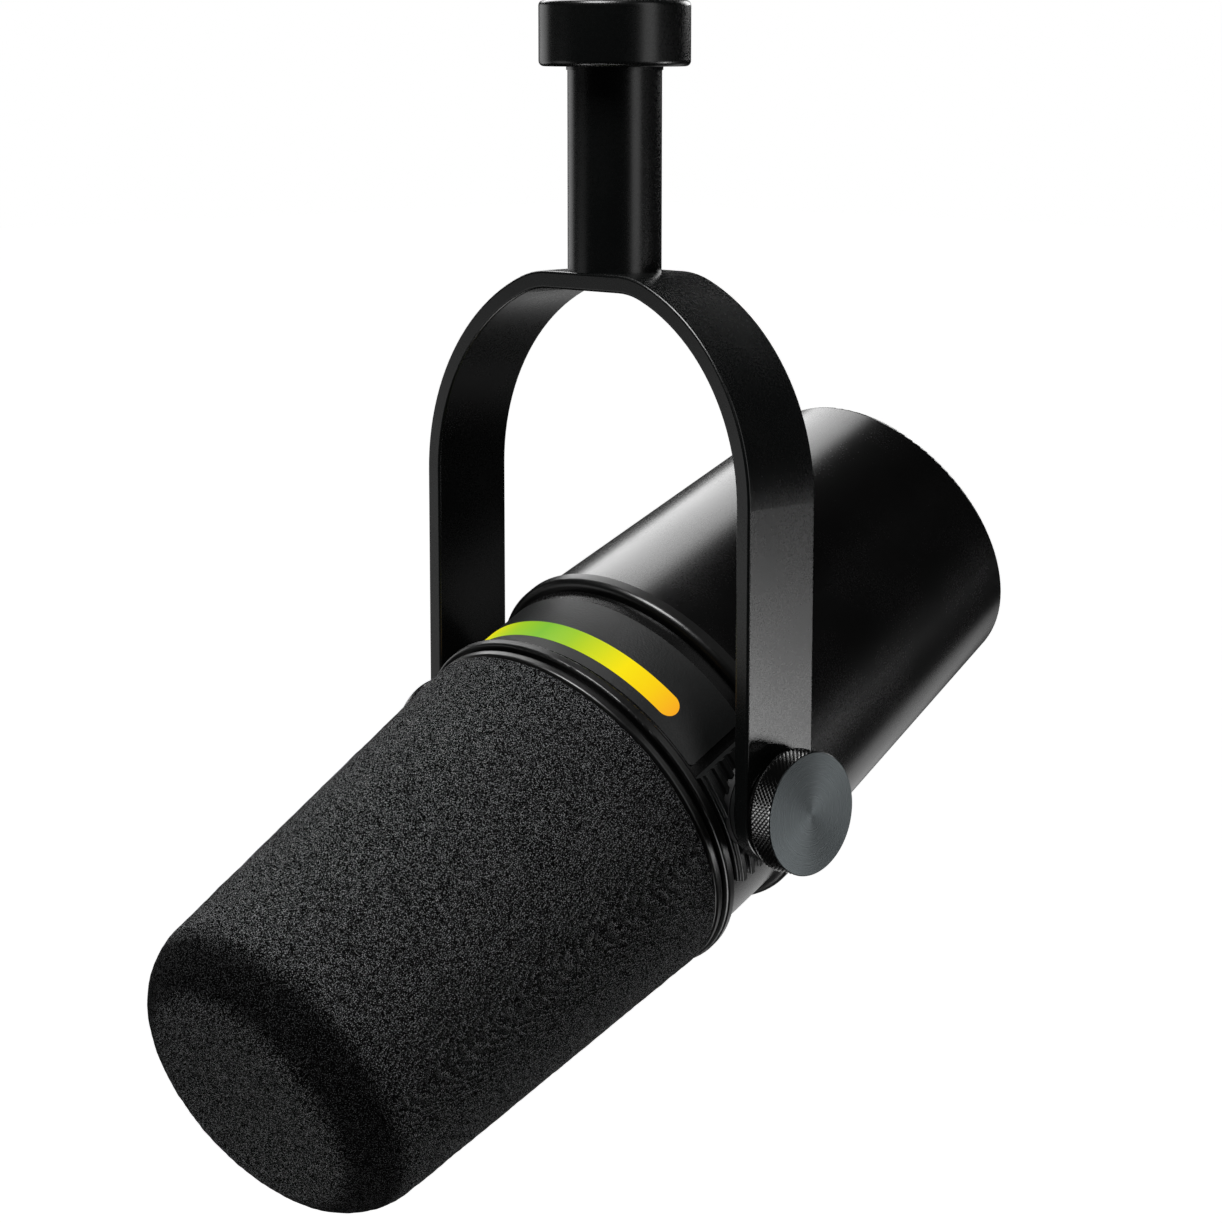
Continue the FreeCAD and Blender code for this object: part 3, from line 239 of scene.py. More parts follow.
# ---------------------------------------------------------------- materials
# Die-cast zinc and steel strap, powder coated: satin black with a faint orange-peel grain.
powder_coat = textured("powder_coated_steel", ("#050606", "#080909"), (0.25, 0.31), 0.5, 0.0015)
# Deep-drawn aluminium tube, sprayed satin black: a smooth sheen broken by a very fine speckle.
sprayed_tube = textured("sprayed_aluminium_tube", ("#030303", "#050505"), (0.23, 0.29), 0.35, 0.002)
# Soft-touch lacquer over ABS: matte, with a fine even grain that catches light as grey specks.
soft_touch = textured("soft_touch_lacquer", ("#0d0e0e", "#131414"), (0.38, 0.47), 0.35, 0.03)
# Lacquered trim rings: smooth and darker, with crisp highlights.
lacquer_trim = textured("lacquered_aluminium_trim", ("#050505", "#090909"), (0.29, 0.35), 0.7, 0.002)
# Moulded ABS: dull black with a spark-eroded texture.
moulded_abs = textured("moulded_abs", ("#0c0c0d", "#131314"), (0.48, 0.6), 0.35, 0.02)
# EPDM rubber: softer and duller than the shell.
epdm_rubber = textured("moulded_epdm_rubber", ("#0e0f0f", "#141515"), (0.36, 0.46), 0.5, 0.006)
# Zinc-plated steel screws: grey and slightly hazy.
zinc_plate = textured("zinc_plated_steel", ("#8d9092", "#a3a5a6"), (0.3, 0.42), 0.6, 0.004, metallic=1.0)
black_zinc = textured("black_zinc_steel", ("#1a1b1c", "#242526"), (0.32, 0.42), 0.6, 0.004, metallic=1.0)
# Nickel plating on brass contacts and shells: warm, bright and smooth.
nickel_plate = textured("nickel_plated_brass", ("#b9b2a6", "#c9c3b8"), (0.2, 0.28), 0.8, 0.002, metallic=1.0)
# Copper wire drawn fine and coated with clear enamel: the turns show as a fine grain.
enamelled_copper = textured("enamelled_copper_wire", ("#8a3f1e", "#a65028"), (0.3, 0.36), 0.08, 0.01, metallic=1.0)
# Pressed and ground magnet and soft-iron plates, nickel plated against rust.
magnet_steel = textured("nickel_plated_magnet", ("#77797b", "#8c8e90"), (0.3, 0.4), 0.5, 0.004, metallic=1.0)
# Hot-pressed polyester film: pale, thin and glossy.
polyester_film = textured("polyester_film", ("#c7cdd0", "#dfe4e6"), (0.14, 0.2), 0.7, 0.004)
# Glass-fibre board under printed black solder mask.
solder_mask = textured("black_solder_mask", ("#0c120f", "#131b16"), (0.3, 0.4), 0.4, 0.01)


def radial_parts(tree, place):
    """The parts of a point's place along the head's side, over and front directions, from the pivot."""
    offset = add(tree, "ShaderNodeVectorMath", {0: place, 1: tuple(PIVOT)}, operation="SUBTRACT").outputs[0]
    return [
        add(tree, "ShaderNodeVectorMath", {0: offset, 1: tuple(direction)}, operation="DOT_PRODUCT").outputs["Value"]
        for direction in (SIDE, OVER, FRONT)]


LAMPS_REACH = 53.5                      # degrees from the top of the neck to where the colours end


def light_pipe():
    """Opal acrylic light guide over a row of coloured lamps: green at the top of the strip, through yellow
    to orange at both of its ends."""
    material, tree, shader, place = finish_of("opal_acrylic_light_guide", "#0c0c0c", 0.3)
    shader.inputs["Specular IOR Level"].default_value = 0.15
    across, upward = radial_parts(tree, place)[:2]
    angle = add(tree, "ShaderNodeMath", {0: across, 1: upward}, operation="ARCTAN2").outputs[0]
    away = add(tree, "ShaderNodeMath", {0: angle}, operation="ABSOLUTE").outputs[0]
    share = add(tree, "ShaderNodeMapRange", {
        "Value": away, "From Min": 0.0, "From Max": math.radians(LAMPS_REACH)}).outputs[0]
    ramp = add(tree, "ShaderNodeValToRGB", {"Fac": share})
    stops = ((0.0, "#7fc42a"), (0.22, "#a2d022"), (0.42, "#d6e016"),
             (0.6, "#ffe900"), (0.8, "#ffd408"), (1.0, "#ffab1c"))
    while len(ramp.color_ramp.elements) < len(stops):
        ramp.color_ramp.elements.new(0.5)
    for element, (position, colour) in zip(ramp.color_ramp.elements, stops):
        element.position, element.color = position, linear(colour)
    tree.links.new(ramp.outputs[0], shader.inputs["Emission Color"])
    shader.inputs["Emission Strength"].default_value = 0.95
    return material


guide_light = light_pipe()

# Surface-mounted lamps under clear epoxy, warm white.
lamp_lens, _, shader, _ = finish_of("lamp_epoxy", "#f2efe0", 0.3)
shader.inputs["Emission Color"].default_value = linear("#fff1a8")
shader.inputs["Emission Strength"].default_value = 1.5


def turned_face():
    """Blackened turned aluminium: dark grey metal, cut in fine concentric rings that draw the light
    out into wedges."""
    material, tree, shader, place = finish_of("turned_black_anodised_aluminium", "#282b2c", 0.28, 1.0,
                                              **{"Anisotropic": 0.85, "Anisotropic Rotation": 0.25})
    offset = add(tree, "ShaderNodeVectorMath", {0: place, 1: tuple(PIVOT)}, operation="SUBTRACT").outputs[0]
    flat = add(tree, "ShaderNodeVectorMath", {0: offset, 1: (0.0, 1.0, 1.0)}, operation="MULTIPLY").outputs[0]
    radius = add(tree, "ShaderNodeVectorMath", {0: flat}, operation="LENGTH").outputs["Value"]
    rings = add(tree, "ShaderNodeTexNoise", {"W": radius, "Scale": per_metre(0.2), "Detail": 3.0},
                noise_dimensions="1D")
    rough = add(tree, "ShaderNodeMapRange", {"Value": rings.outputs[0], "To Min": 0.24, "To Max": 0.33})
    tree.links.new(rough.outputs[0], shader.inputs["Roughness"])
    bump = add(tree, "ShaderNodeBump", {"Height": rings.outputs[0], "Distance": 0.005 * MM})
    tree.links.new(bump.outputs[0], shader.inputs["Normal"])
    tangent = add(tree, "ShaderNodeTangent", direction_type="RADIAL", axis="X")
    tree.links.new(tangent.outputs[0], shader.inputs["Tangent"])
    return material


knob_face_metal = turned_face()
# Knurled before it is anodised: the same black, smooth on the flanks that the wheel has pressed.
knurl_metal = textured("knurled_black_anodised_aluminium", ("#030303", "#060606"), (0.2, 0.25), 0.4, 0.001)


FOAM_CELL = 0.18
NOSE_CENTRE = (15.4, 80.2)              # radius and station about which the nose edge is rounded


def open_cell_foam():
    """Reticulated polyurethane foam: black struts round open cells of a few tenths of a millimetre. Strut crossings
    are painted as small pale specks, each of its own brightness: a painted glint for the light they catch. The cells
    between stay dark. Over the nose rounding a band of painted shade leaves fewer and fainter specks."""
    material, tree, shader, place = finish_of("reticulated_polyurethane_foam", "#0a0a0a", 0.6)
    cells = add(tree, "ShaderNodeTexVoronoi", {"Vector": place, "Scale": per_metre(FOAM_CELL), "Randomness": 1.0})
    speck = add(tree, "ShaderNodeMapRange", {
        "Value": cells.outputs["Distance"],
        "From Min": 0.03, "From Max": 0.56, "To Min": 1.0, "To Max": 0.0}).outputs[0]
    own = add(tree, "ShaderNodeSeparateColor", {0: cells.outputs["Color"]}).outputs[0]
    bright = add(tree, "ShaderNodeMath", {0: own, 1: 2.0}, operation="POWER").outputs[0]
    # Painted shade: a band over the nose rounding, found by the angle round the rounding's centre, gets fewer and
    # fainter specks, standing in for the shade between the lit side and the front face.
    across, upward, along = radial_parts(tree, place)
    radius = add(tree, "ShaderNodeVectorMath", {
        0: add(tree, "ShaderNodeCombineXYZ", {0: across, 1: upward}).outputs[0]}, operation="LENGTH").outputs["Value"]
    outward = add(tree, "ShaderNodeMath", {0: radius, 1: NOSE_CENTRE[0] * MM}, operation="SUBTRACT").outputs[0]
    forward = add(tree, "ShaderNodeMath", {0: along, 1: NOSE_CENTRE[1] * MM}, operation="SUBTRACT").outputs[0]
    turn = add(tree, "ShaderNodeMath", {0: forward, 1: outward}, operation="ARCTAN2").outputs[0]
    begun = add(tree, "ShaderNodeMapRange", {
        "Value": turn, "From Min": 0.12, "From Max": 0.5}, interpolation_type="SMOOTHSTEP").outputs[0]
    over = add(tree, "ShaderNodeMapRange", {
        "Value": turn, "From Min": 0.95, "From Max": 1.35, "To Min": 1.0, "To Max": 0.0},
        interpolation_type="SMOOTHSTEP").outputs[0]
    nose_shade_band = add(tree, "ShaderNodeMath", {0: begun, 1: over}, operation="MULTIPLY").outputs[0]
    unshaded_share = add(tree, "ShaderNodeMapRange", {"Value": nose_shade_band, "To Min": 1.0, "To Max": 0.2}).outputs[0]
    strut = add(tree, "ShaderNodeMath", {0: speck, 1: bright}, operation="MULTIPLY").outputs[0]
    glint_paint_and_specular = add(tree, "ShaderNodeMath", {0: strut, 1: unshaded_share}, operation="MULTIPLY").outputs[0]
    tree.links.new(glint_paint_and_specular, shader.inputs["Specular IOR Level"])
    # Painted glint: the base colour goes from near-black to pale grey with the strut specks, standing in for light
    # the struts catch; the same share also sets the real specular level.
    colour = add(tree, "ShaderNodeMix", {
        "Factor": glint_paint_and_specular, "A": linear("#040404"), "B": linear("#bcbec0")}, data_type="RGBA")
    tree.links.new(colour.outputs["Result"], shader.inputs["Base Color"])
    bump = add(tree, "ShaderNodeBump", {"Height": speck, "Distance": 0.08 * MM})
    tree.links.new(bump.outputs[0], shader.inputs["Normal"])
    return material


foam = open_cell_foam()

# ---------------------------------------------------------------- CAD pieces that keep their shape
finishes = {
    "nut_retaining_ring": black_zinc, "stem_tube": powder_coat, "yoke_strap": powder_coat, "stem_screw": black_zinc,
    "knob_stud_right": zinc_plate, "knob_stud_left": zinc_plate,
    "friction_washer_right": epdm_rubber, "friction_washer_left": epdm_rubber,
    "pivot_bushing_right": moulded_abs, "pivot_bushing_left": moulded_abs,
    "neck_housing": sprayed_tube, "led_board": solder_mask, "leds": lamp_lens,
    "bezel_ring": lacquer_trim, "rim_ring": lacquer_trim,
    "rear_trim_ring": lacquer_trim, "rear_housing": sprayed_tube,
    "end_cap": moulded_abs, "cap_screws": black_zinc, "xlr_shell": nickel_plate, "xlr_insert": moulded_abs,
    "xlr_pins": nickel_plate, "usb_c_shell": nickel_plate, "usb_c_tongue": moulded_abs,
    "headphone_jack": lacquer_trim, "main_board": solder_mask, "capsule_case": moulded_abs,
    "capsule_cover": moulded_abs, "pole_piece": magnet_steel, "magnet": magnet_steel, "top_plate": magnet_steel,
    "voice_coil": enamelled_copper, "diaphragm": polyester_film, "suspension_back": epdm_rubber,
    "suspension_front": epdm_rubber,
}
for node_name, material in finishes.items():
    frame["nodes"][node_name].material_slots[0].material = material

# ---------------------------------------------------------------- stand nut
NUT_RADIUS, NUT_LENGTH, NUT_EDGE, NUT_MOUTH = 12.65, 10.8, 0.9, 8.2
NUT_CAVITY, NUT_STEP = 10.6, 7.2        # radius of the wide rear bore, and where it meets the thread
THREAD_PITCH, THREAD_RADIUS, THREAD_DEPTH = 25.4 / 27, 7.43, 0.5
THREAD_FROM, THREAD_TO = 0.35, 6.95


def threaded_nut():
    """Round nut turned about the stand axis. Inside it the thread wall goes in and out by a rounded triangle
    wave of the height plus one pitch a turn, so the groove climbs as a helix. It fades out over the pitch
    nearest to each end."""
    segments = 192
    outer = rounded([(NUT_MOUTH, 0, 0), (NUT_RADIUS, 0, NUT_EDGE), (NUT_RADIUS, NUT_LENGTH, NUT_EDGE),
                     (NUT_CAVITY, NUT_LENGTH, 0.15), (NUT_CAVITY, NUT_STEP, 0), (7.95, NUT_STEP, 0)])
    heights = np.linspace(THREAD_TO, THREAD_FROM, 72)
    angle = whole_turn(segments)
    phase = heights[None, :] / THREAD_PITCH + angle / (2 * math.pi)
    fade = np.clip(np.minimum(heights - THREAD_FROM, THREAD_TO - heights) / THREAD_PITCH, 0, 1)[None, :]
    groove = np.clip(1.25 * triangle(phase) - 0.1, 0, 1)
    thread = THREAD_RADIUS + THREAD_DEPTH * (1 - fade * (1 - groove))
    radius = np.concatenate([outer[None, :, 0] + 0 * angle, thread], axis=1)
    station = np.concatenate([outer[:, 1], heights])[None, :] + 0 * angle
    points = placed(STAND, radius, angle + 0 * radius, station).reshape(-1, 3)
    faces = grid_faces(segments, radius.shape[1], wrap_rows=True, wrap_columns=True)
    build("threaded_stand_nut", points, faces, powder_coat, "stand_nut", ("stand_nut",))


threaded_nut()

# ---------------------------------------------------------------- knobs
KNOB_RADIUS, KNOB_FACE, KNOB_BACK = 10.27, 45.0, 40.6
KNURL_FROM, KNURL_TO, KNURL_DEPTH, KNURLS = 40.72, 44.86, 0.28, 72
KNURL_FLAT = 0.85                       # share of the full height at which the diamonds are cut off flat
HUB_RADIUS, HUB_END, STUD_HOLE, STUD_HOLE_END = 8.0, 38.2, 3.05, 42.65


def knob(side, where):
    """Diamond-knurled thumb knob. Knurled band: at turn a and length b, both counted in diamonds, the
    height is the lower of two triangle waves, in a+b and a-b, cut off flat near the top. The quads are split
    along the valleys."""
    around, along = KNURLS * 4, 20
    a = np.arange(around)[:, None] / 4.0 + np.zeros(along + 1)[None, :]
    b = np.arange(along + 1)[None, :] / 4.0 + np.zeros(around)[:, None]
    height = np.minimum(np.minimum(triangle(a + b), triangle(a - b)), KNURL_FLAT) / KNURL_FLAT
    radius = KNOB_RADIUS - KNURL_DEPTH * (1 - height)
    edge = KNOB_RADIUS - KNURL_DEPTH * 0.5
    radius[:, [0, -1]] = edge
    station = KNURL_FROM + (KNURL_TO - KNURL_FROM) * b / b.max()
    band = placed(where, radius, 2 * math.pi * a / KNURLS, station).reshape(-1, 3)
    i = np.arange(around)[:, None] + np.zeros(along, int)[None, :]
    j = np.arange(along)[None, :] + np.zeros(around, int)[:, None]
    i2, columns = (i + 1) % around, along + 1
    p00, p10, p11, p01 = i * columns + j, i2 * columns + j, i2 * columns + j + 1, i * columns + j + 1
    rising = ((i + j) % 2 == 0)
    one = np.stack([p00, p10, np.where(rising, p11, p01)], -1).reshape(-1, 3)
    two = np.stack([np.where(rising, p00, p10), p11, p01], -1).reshape(-1, 3)
    band_faces = np.concatenate([one, two])
    # one closed skin: band, face with its fine bevel, bore, back face and hub
    front = rounded([(edge, KNURL_TO, 0), (KNOB_RADIUS - 0.02, KNURL_TO + 0.02, 0),
                     (KNOB_RADIUS - 0.14, KNOB_FACE, 0.05), (0.0, KNOB_FACE, 0)])
    back = rounded([(0.0, STUD_HOLE_END, 0), (STUD_HOLE, STUD_HOLE_END, 0), (STUD_HOLE, HUB_END, 0),
                    (HUB_RADIUS, HUB_END, 0.2), (HUB_RADIUS, KNOB_BACK, 0), (KNOB_RADIUS - 0.2, KNOB_BACK, 0.05),
                    (KNOB_RADIUS - 0.02, KNURL_FROM - 0.02, 0), (edge, KNURL_FROM, 0)])
    points, faces, start = [band], [band_faces], len(band)
    angle = (2 * math.pi * np.arange(around) / around)[:, None]
    for profile in (front, back):
        ring = swept(where, profile, angle).reshape(-1, 3)
        quads = grid_faces(around, len(profile), wrap_rows=True)
        faces.append(np.concatenate([quads[:, [0, 1, 2]], quads[:, [0, 2, 3]]]) + start)
        points.append(ring)
        start += len(ring)
    piece = build("knob_turned_" + side, np.concatenate(points), np.concatenate(faces), knurl_metal,
                  "knob_" + side, ("knob_" + side,), sharp=20.0)
    piece.data.materials.append(knob_face_metal)
    centres = np.zeros(len(piece.data.polygons) * 3)
    piece.data.polygons.foreach_get("center", centres)
    on_face = np.abs(centres.reshape(-1, 3)[:, 0]) / MM > KNURL_TO + 0.03
    piece.data.polygons.foreach_set("material_index", on_face.astype(np.int32))


for side, where in (("right", RIGHT), ("left", LEFT)):
    knob(side, where)

# ---------------------------------------------------------------- ribbed side pads
PAD_INSIDE, PAD_FLOOR, PAD_TOP, PAD_HALF = 31.55, 33.4, 34.2, 8.35
RIBS, RIB_FIRST, RIB_PITCH, RIB_WIDTH, RIB_EDGE, RIB_FOOT = 8, -7.83, 2.1, 0.95, 0.16, 0.1
PAD_SPREAD, PAD_COLUMNS = 18.5, 49      # degrees each way from its middle, and points across
BUSHING_HOLE = (31.0, 35.0, 8.25)       # from, to and radius along the pivot axis


def side_pad(side, middle, turn):
    """Rubber pad that follows the neck for 37 degrees: its ribbed section, every rib edge rounded, is carried
    round the head axis, its ends are capped, and a round hole for the pivot bushing is cut through it."""
    section = [(PAD_INSIDE, -PAD_HALF, 0), (PAD_FLOOR, -PAD_HALF, RIB_EDGE)]
    for rib in range(RIBS):
        start = RIB_FIRST + RIB_PITCH * rib
        end = start + RIB_WIDTH
        section += [(PAD_FLOOR, start, RIB_FOOT), (PAD_TOP, start, RIB_EDGE),
                    (PAD_TOP, end, RIB_EDGE), (PAD_FLOOR, end, RIB_FOOT)]
    section += [(PAD_FLOOR, PAD_HALF, RIB_EDGE), (PAD_INSIDE, PAD_HALF, 0)]
    profile = rounded([(r, turn * s, e) for r, s, e in section], steps=4)
    spread = math.radians(PAD_SPREAD)
    angle = middle + np.linspace(-spread, spread, PAD_COLUMNS)[:, None]
    points = swept(HEAD, profile, angle).reshape(-1, 3)
    faces = grid_faces(PAD_COLUMNS, len(profile), wrap_columns=True)
    last = (PAD_COLUMNS - 1) * len(profile)
    ends = [range(len(profile)), range(last, last + len(profile))]
    piece = build("ribbed_pad_" + side, points, faces, epdm_rubber, "head", ("side_pad_" + side,),
                  40.0, ends)
    cut(piece, BUSHING_HOLE, RIGHT if side == "right" else LEFT)


def cut(piece, size, where):
    """Bores a round hole along a frame's axis, from one distance to another, with that radius."""
    near, far, radius = size
    segments = 96
    profile = np.array([(0.0, near), (radius, near), (radius, far), (0.0, far)])
    points = swept(where, profile, whole_turn(segments)).reshape(-1, 3)
    mesh = bpy.data.meshes.new("bore")
    mesh.from_pydata(points.tolist(), [], grid_faces(segments, len(profile), wrap_rows=True).tolist())
    weld(mesh, outward=True)
    tool = bpy.data.objects.new("bore", mesh)
    bpy.context.scene.collection.objects.link(tool)
    bore = piece.modifiers.new("bore", "BOOLEAN")
    bore.operation, bore.object, bore.solver = "DIFFERENCE", tool, "EXACT"
    bpy.context.view_layer.update()
    result = bpy.data.meshes.new_from_object(piece.evaluated_get(bpy.context.evaluated_depsgraph_get()))
    piece.modifiers.remove(bore)
    piece.data = result
    result.shade_smooth()
    result.set_sharp_from_angle(angle=math.radians(35))
    bpy.data.objects.remove(tool)


side_pad("right", 0.0, -1)
side_pad("left", math.pi, 1)

# ---------------------------------------------------------------- touch panel and light strip
NECK_SKIN = 31.6
PANEL_BACK, PANEL_FRONT, PANEL_FLOOR, PANEL_EDGE = -5.75, 7.55, 30.45, 0.14
STRIP_MIDDLE, STRIP_HALF_WIDTH, SLOT_HALF_WIDTH = 3.4, 2.0, 2.03
STRIP_TOP, STRIP_FLOOR, STRIP_EDGE = 31.62, 30.95, 0.12
SIDE_POINTS, END_POINTS = 132, 26       # on each long side and each end of every outline


def neck_arc(degrees):
    """Length along the neck's skin of an angle about the head axis."""
    return degrees / 180 * math.pi * NECK_SKIN


PANEL_HALF, STRIP_HALF = neck_arc(67.8), neck_arc(49.5)


def round_ended(half, radius, middle):
    """Outline of a strip along the neck: front side, right end, rear side, left end, with the same number of
    points on each side as every outline that it is joined to."""
    along = np.linspace(-half, half, SIDE_POINTS, endpoint=False)
    turn = np.linspace(math.pi / 2, -math.pi / 2, END_POINTS, endpoint=False)
    right_end = np.stack([half + radius * np.cos(turn), middle + radius * np.sin(turn)], 1)
    front = np.stack([along, 0 * along + middle + radius], 1)
    back = np.stack([-along, 0 * along + middle - radius], 1)
    left_end = np.stack([-half - radius * np.cos(turn), middle - radius * np.sin(turn)], 1)
    return np.concatenate([front, right_end, back, left_end])


def square_ended(half, back, front):
    """Outline of a rectangle with its corners a little rounded, on the same pattern of points."""
    along = np.linspace(-half, half, SIDE_POINTS, endpoint=False)
    down = np.linspace(front, back, END_POINTS, endpoint=False)
    corner, depth = 0.8, 0.5
    ease = np.clip(np.minimum(front - down, down - back) / corner, 0, 1)
    tuck = depth * (1 - np.sqrt(1 - (1 - ease) ** 2))
    return np.concatenate([
        np.stack([along, 0 * along + front], 1), np.stack([half - tuck, down], 1),
        np.stack([-along, 0 * along + back], 1), np.stack([tuck - half, front + back - down], 1)])


def over_the_neck(flat, radius):
    """Flat outline points, arc length along the neck at its skin and station, wrapped round the head axis."""
    angle = math.pi / 2 - flat[..., 0] / NECK_SKIN
    return placed(HEAD, radius + 0 * angle, angle, flat[..., 1])


def shrunk(outline, inset):
    """The outline moved inwards by that much, along the normal of its own direction."""
    run = np.roll(outline, -1, 0) - np.roll(outline, 1, 0)
    run /= np.linalg.norm(run, axis=1, keepdims=True)
    return outline - inset * np.stack([run[:, 1], -run[:, 0]], 1)


def skins(outline, inner, top, floor, edge):
    """Rings of a slab's upper skin, edge and underside: from the inner outline out over the top, round the
    outer edge by quarter-circle steps, down the wall and back in underneath."""
    rings = [over_the_neck(inner * (1 - k) + shrunk(outline, edge) * k, top) for k in np.linspace(0, 1, 6)]
    for turn in np.linspace(0, math.pi / 2, 5):
        rings.append(over_the_neck(shrunk(outline, edge * (1 - math.sin(turn))), top - edge * (1 - math.cos(turn))))
    rings.append(over_the_neck(outline, floor))
    return rings


def touch_panel():
    """Lacquered panel bent round the top of the neck, with a slot for the light strip; both its outer edges and
    the slot's are rounded."""
    outline = square_ended(PANEL_HALF, PANEL_BACK, PANEL_FRONT)
    slot = round_ended(STRIP_HALF, SLOT_HALF_WIDTH, STRIP_MIDDLE)
    edge = PANEL_EDGE
    rings = skins(outline, shrunk(slot, -edge), NECK_SKIN, PANEL_FLOOR, edge)
    lip = [over_the_neck(shrunk(slot, -edge * (1 - math.sin(turn))), NECK_SKIN - edge * (1 - math.cos(turn)))
           for turn in np.linspace(math.pi / 2, 0, 5)[:-1]]
    rings = [over_the_neck(slot, PANEL_FLOOR)] + lip + rings
    points = np.stack(rings)
    faces = grid_faces(len(rings), points.shape[1], wrap_rows=True, wrap_columns=True)
    build("soft_touch_panel", points.reshape(-1, 3), faces, soft_touch, "head", ("touch_panel",))


def light_strip():
    """Round-ended bar of the light guide, bent round the neck, its upper edge rounded."""
    outline = round_ended(STRIP_HALF, STRIP_HALF_WIDTH, STRIP_MIDDLE)
    spine = round_ended(STRIP_HALF, 0.0, STRIP_MIDDLE)
    rings = skins(outline, spine, STRIP_TOP, STRIP_FLOOR, STRIP_EDGE) + [over_the_neck(spine, STRIP_FLOOR)]
    points = np.stack(rings)
    faces = grid_faces(len(rings), points.shape[1], wrap_columns=True)
    build("light_strip", points.reshape(-1, 3), faces, guide_light, "head", ("led_light_guide",))


touch_panel()
light_strip()

# ---------------------------------------------------------------- perforated grille
HOLES_ROUND, HOLE_ROWS, HOLE_SHARE = 56, 26, 0.34       # hole radius as a share of its cell
HOLES_FROM, HOLES_TO, GRILLE_WALL = 17.6, 79.2, 0.6
GRILLE_FOOT, GRILLE_NOSE = (26.0, 15.05), (22.4, 80.0)  # radius and station at both ends of the taper


def grille():
    """Perforated steel cap, an open skin given its wall by Solidify. The side is rows of cells, each a ring of
    eight quads between its square border and a round hole; every second row is shifted by half a cell."""
    across, rows, first, last = HOLES_ROUND, HOLE_ROWS, HOLES_FROM, HOLES_TO
    (foot_r, foot_s), (nose_r, nose_s) = GRILLE_FOOT, GRILLE_NOSE

    def taper(s):
        return foot_r - (s - foot_s) * (foot_r - nose_r) / (nose_s - foot_s)

    eighth = np.arange(8) * math.pi / 4
    border = np.stack([np.sign(np.round(np.cos(eighth), 6)), np.sign(np.round(np.sin(eighth), 6))], 1) * 0.5
    hole = np.stack([np.cos(eighth), np.sin(eighth)], 1) * HOLE_SHARE
    ring = np.concatenate([border, hole])
    row, column = np.meshgrid(np.arange(rows), np.arange(across), indexing="ij")
    u = column[..., None] + 0.5 * (row[..., None] % 2) + ring[None, None, :, 0]
    v = row[..., None] + 0.5 + ring[None, None, :, 1]
    station = first + (last - first) * v / rows
    cells = placed(HEAD, taper(station), 2 * math.pi * u / across, station).reshape(-1, 3)
    k = np.arange(8)
    quad = np.stack([k, (k + 1) % 8, 8 + (k + 1) % 8, 8 + k], 1)
    cell_faces = (16 * np.arange(rows * across)[:, None, None] + quad[None]).reshape(-1, 4)
    points, faces, start = [cells], [cell_faces], len(cells)
    angle = (2 * math.pi * np.arange(2 * across) / (2 * across))[:, None]
    foot = np.array([(29.85, 14.55), (26.3, 14.55), (26.02, 14.8), (taper(first), first)])
    nose = np.array([(taper(last), last), (22.3, 80.3), (19.6, 82.75), (18.9, 83.0), (12.0, 83.0), (0.0, 83.0)])
    for profile in (foot, nose):
        band = swept(HEAD, profile, angle).reshape(-1, 3)
        # Known fault: the reversal winds these against the cells, so Solidify puts the wall inside these bands
        # but outside the perforated side, which then reaches about 0.34 mm into the windscreen's bore.
        faces.append(grid_faces(2 * across, len(profile), wrap_rows=True)[:, ::-1] + start)
        points.append(band)
        start += len(band)
    piece = build("perforated_grille", np.concatenate(points), np.concatenate(faces), powder_coat, "head",
                  ("grille",), 50.0)
    wall = piece.modifiers.new("wall", "SOLIDIFY")
    wall.thickness, wall.offset = GRILLE_WALL * MM, -1.0


grille()

# ---------------------------------------------------------------- foam windscreen
FOAM_BACK, FOAM_FRONT, FOAM_BACK_RADIUS, FOAM_FRONT_RADIUS, NOSE_ROUNDING = 13.1, 92.06, 32.45, 26.95, 11.9
FOAM_STEP, FOAM_COLUMNS = 0.5, 380      # spacing of the outside's rows, and points round it


def windscreen():
    """Foam cover: outside, nose rounding and front face, then the bore over the grille, turned round the head
    axis. The outside is pushed in and out by two sizes of lattice noise, both coarser than the foam's cells."""
    outline = rounded([(31.0, FOAM_BACK, 0), (FOAM_BACK_RADIUS, FOAM_BACK, 0.5),
                       (FOAM_FRONT_RADIUS, FOAM_FRONT, NOSE_ROUNDING), (0.0, FOAM_FRONT, 0)], steps=40)
    run = np.concatenate([[0], np.cumsum(np.linalg.norm(np.diff(outline, axis=0), axis=1))])
    fine = np.linspace(0, run[-1], int(run[-1] / FOAM_STEP))
    outside = np.stack([np.interp(fine, run, outline[:, k]) for k in (0, 1)], 1)
    inside = np.array([(0.0, 83.25), (19.65, 83.25), (22.65, 80.25), (26.25, 15.3), (30.1, 15.3),
                       (30.1, FOAM_BACK)])
    profile = np.concatenate([outside, inside])
    angle = whole_turn(FOAM_COLUMNS)
    points = swept(HEAD, profile, angle)
    tangent = np.gradient(outside, axis=0)
    normal = np.stack([tangent[:, 1], -tangent[:, 0]], 1)
    normal /= -np.linalg.norm(normal, axis=1, keepdims=True)
    if normal[len(normal) // 2, 0] < 0:
        normal = -normal
    _, across, upward, axis = HEAD
    radial = np.cos(angle)[..., None] * across + np.sin(angle)[..., None] * upward
    outward = normal[None, :, 0, None] * radial + normal[None, :, 1, None] * axis
    skin = points[:, :len(outside)]
    flat = skin.reshape(-1, 3) / MM
    push = 0.07 * lattice_noise(flat, 0.9, 7) + 0.05 * lattice_noise(flat, 2.2, 11)
    push = push.reshape(skin.shape[:2])
    push[:, :2] = 0
    push[:, -1] = 0
    skin += (push * MM)[..., None] * outward
    faces = grid_faces(FOAM_COLUMNS, len(profile), wrap_rows=True, wrap_columns=True)
    piece = build("foam_windscreen", points.reshape(-1, 3), faces, foam, "windscreen", ("windscreen",), 180.0)


windscreen()

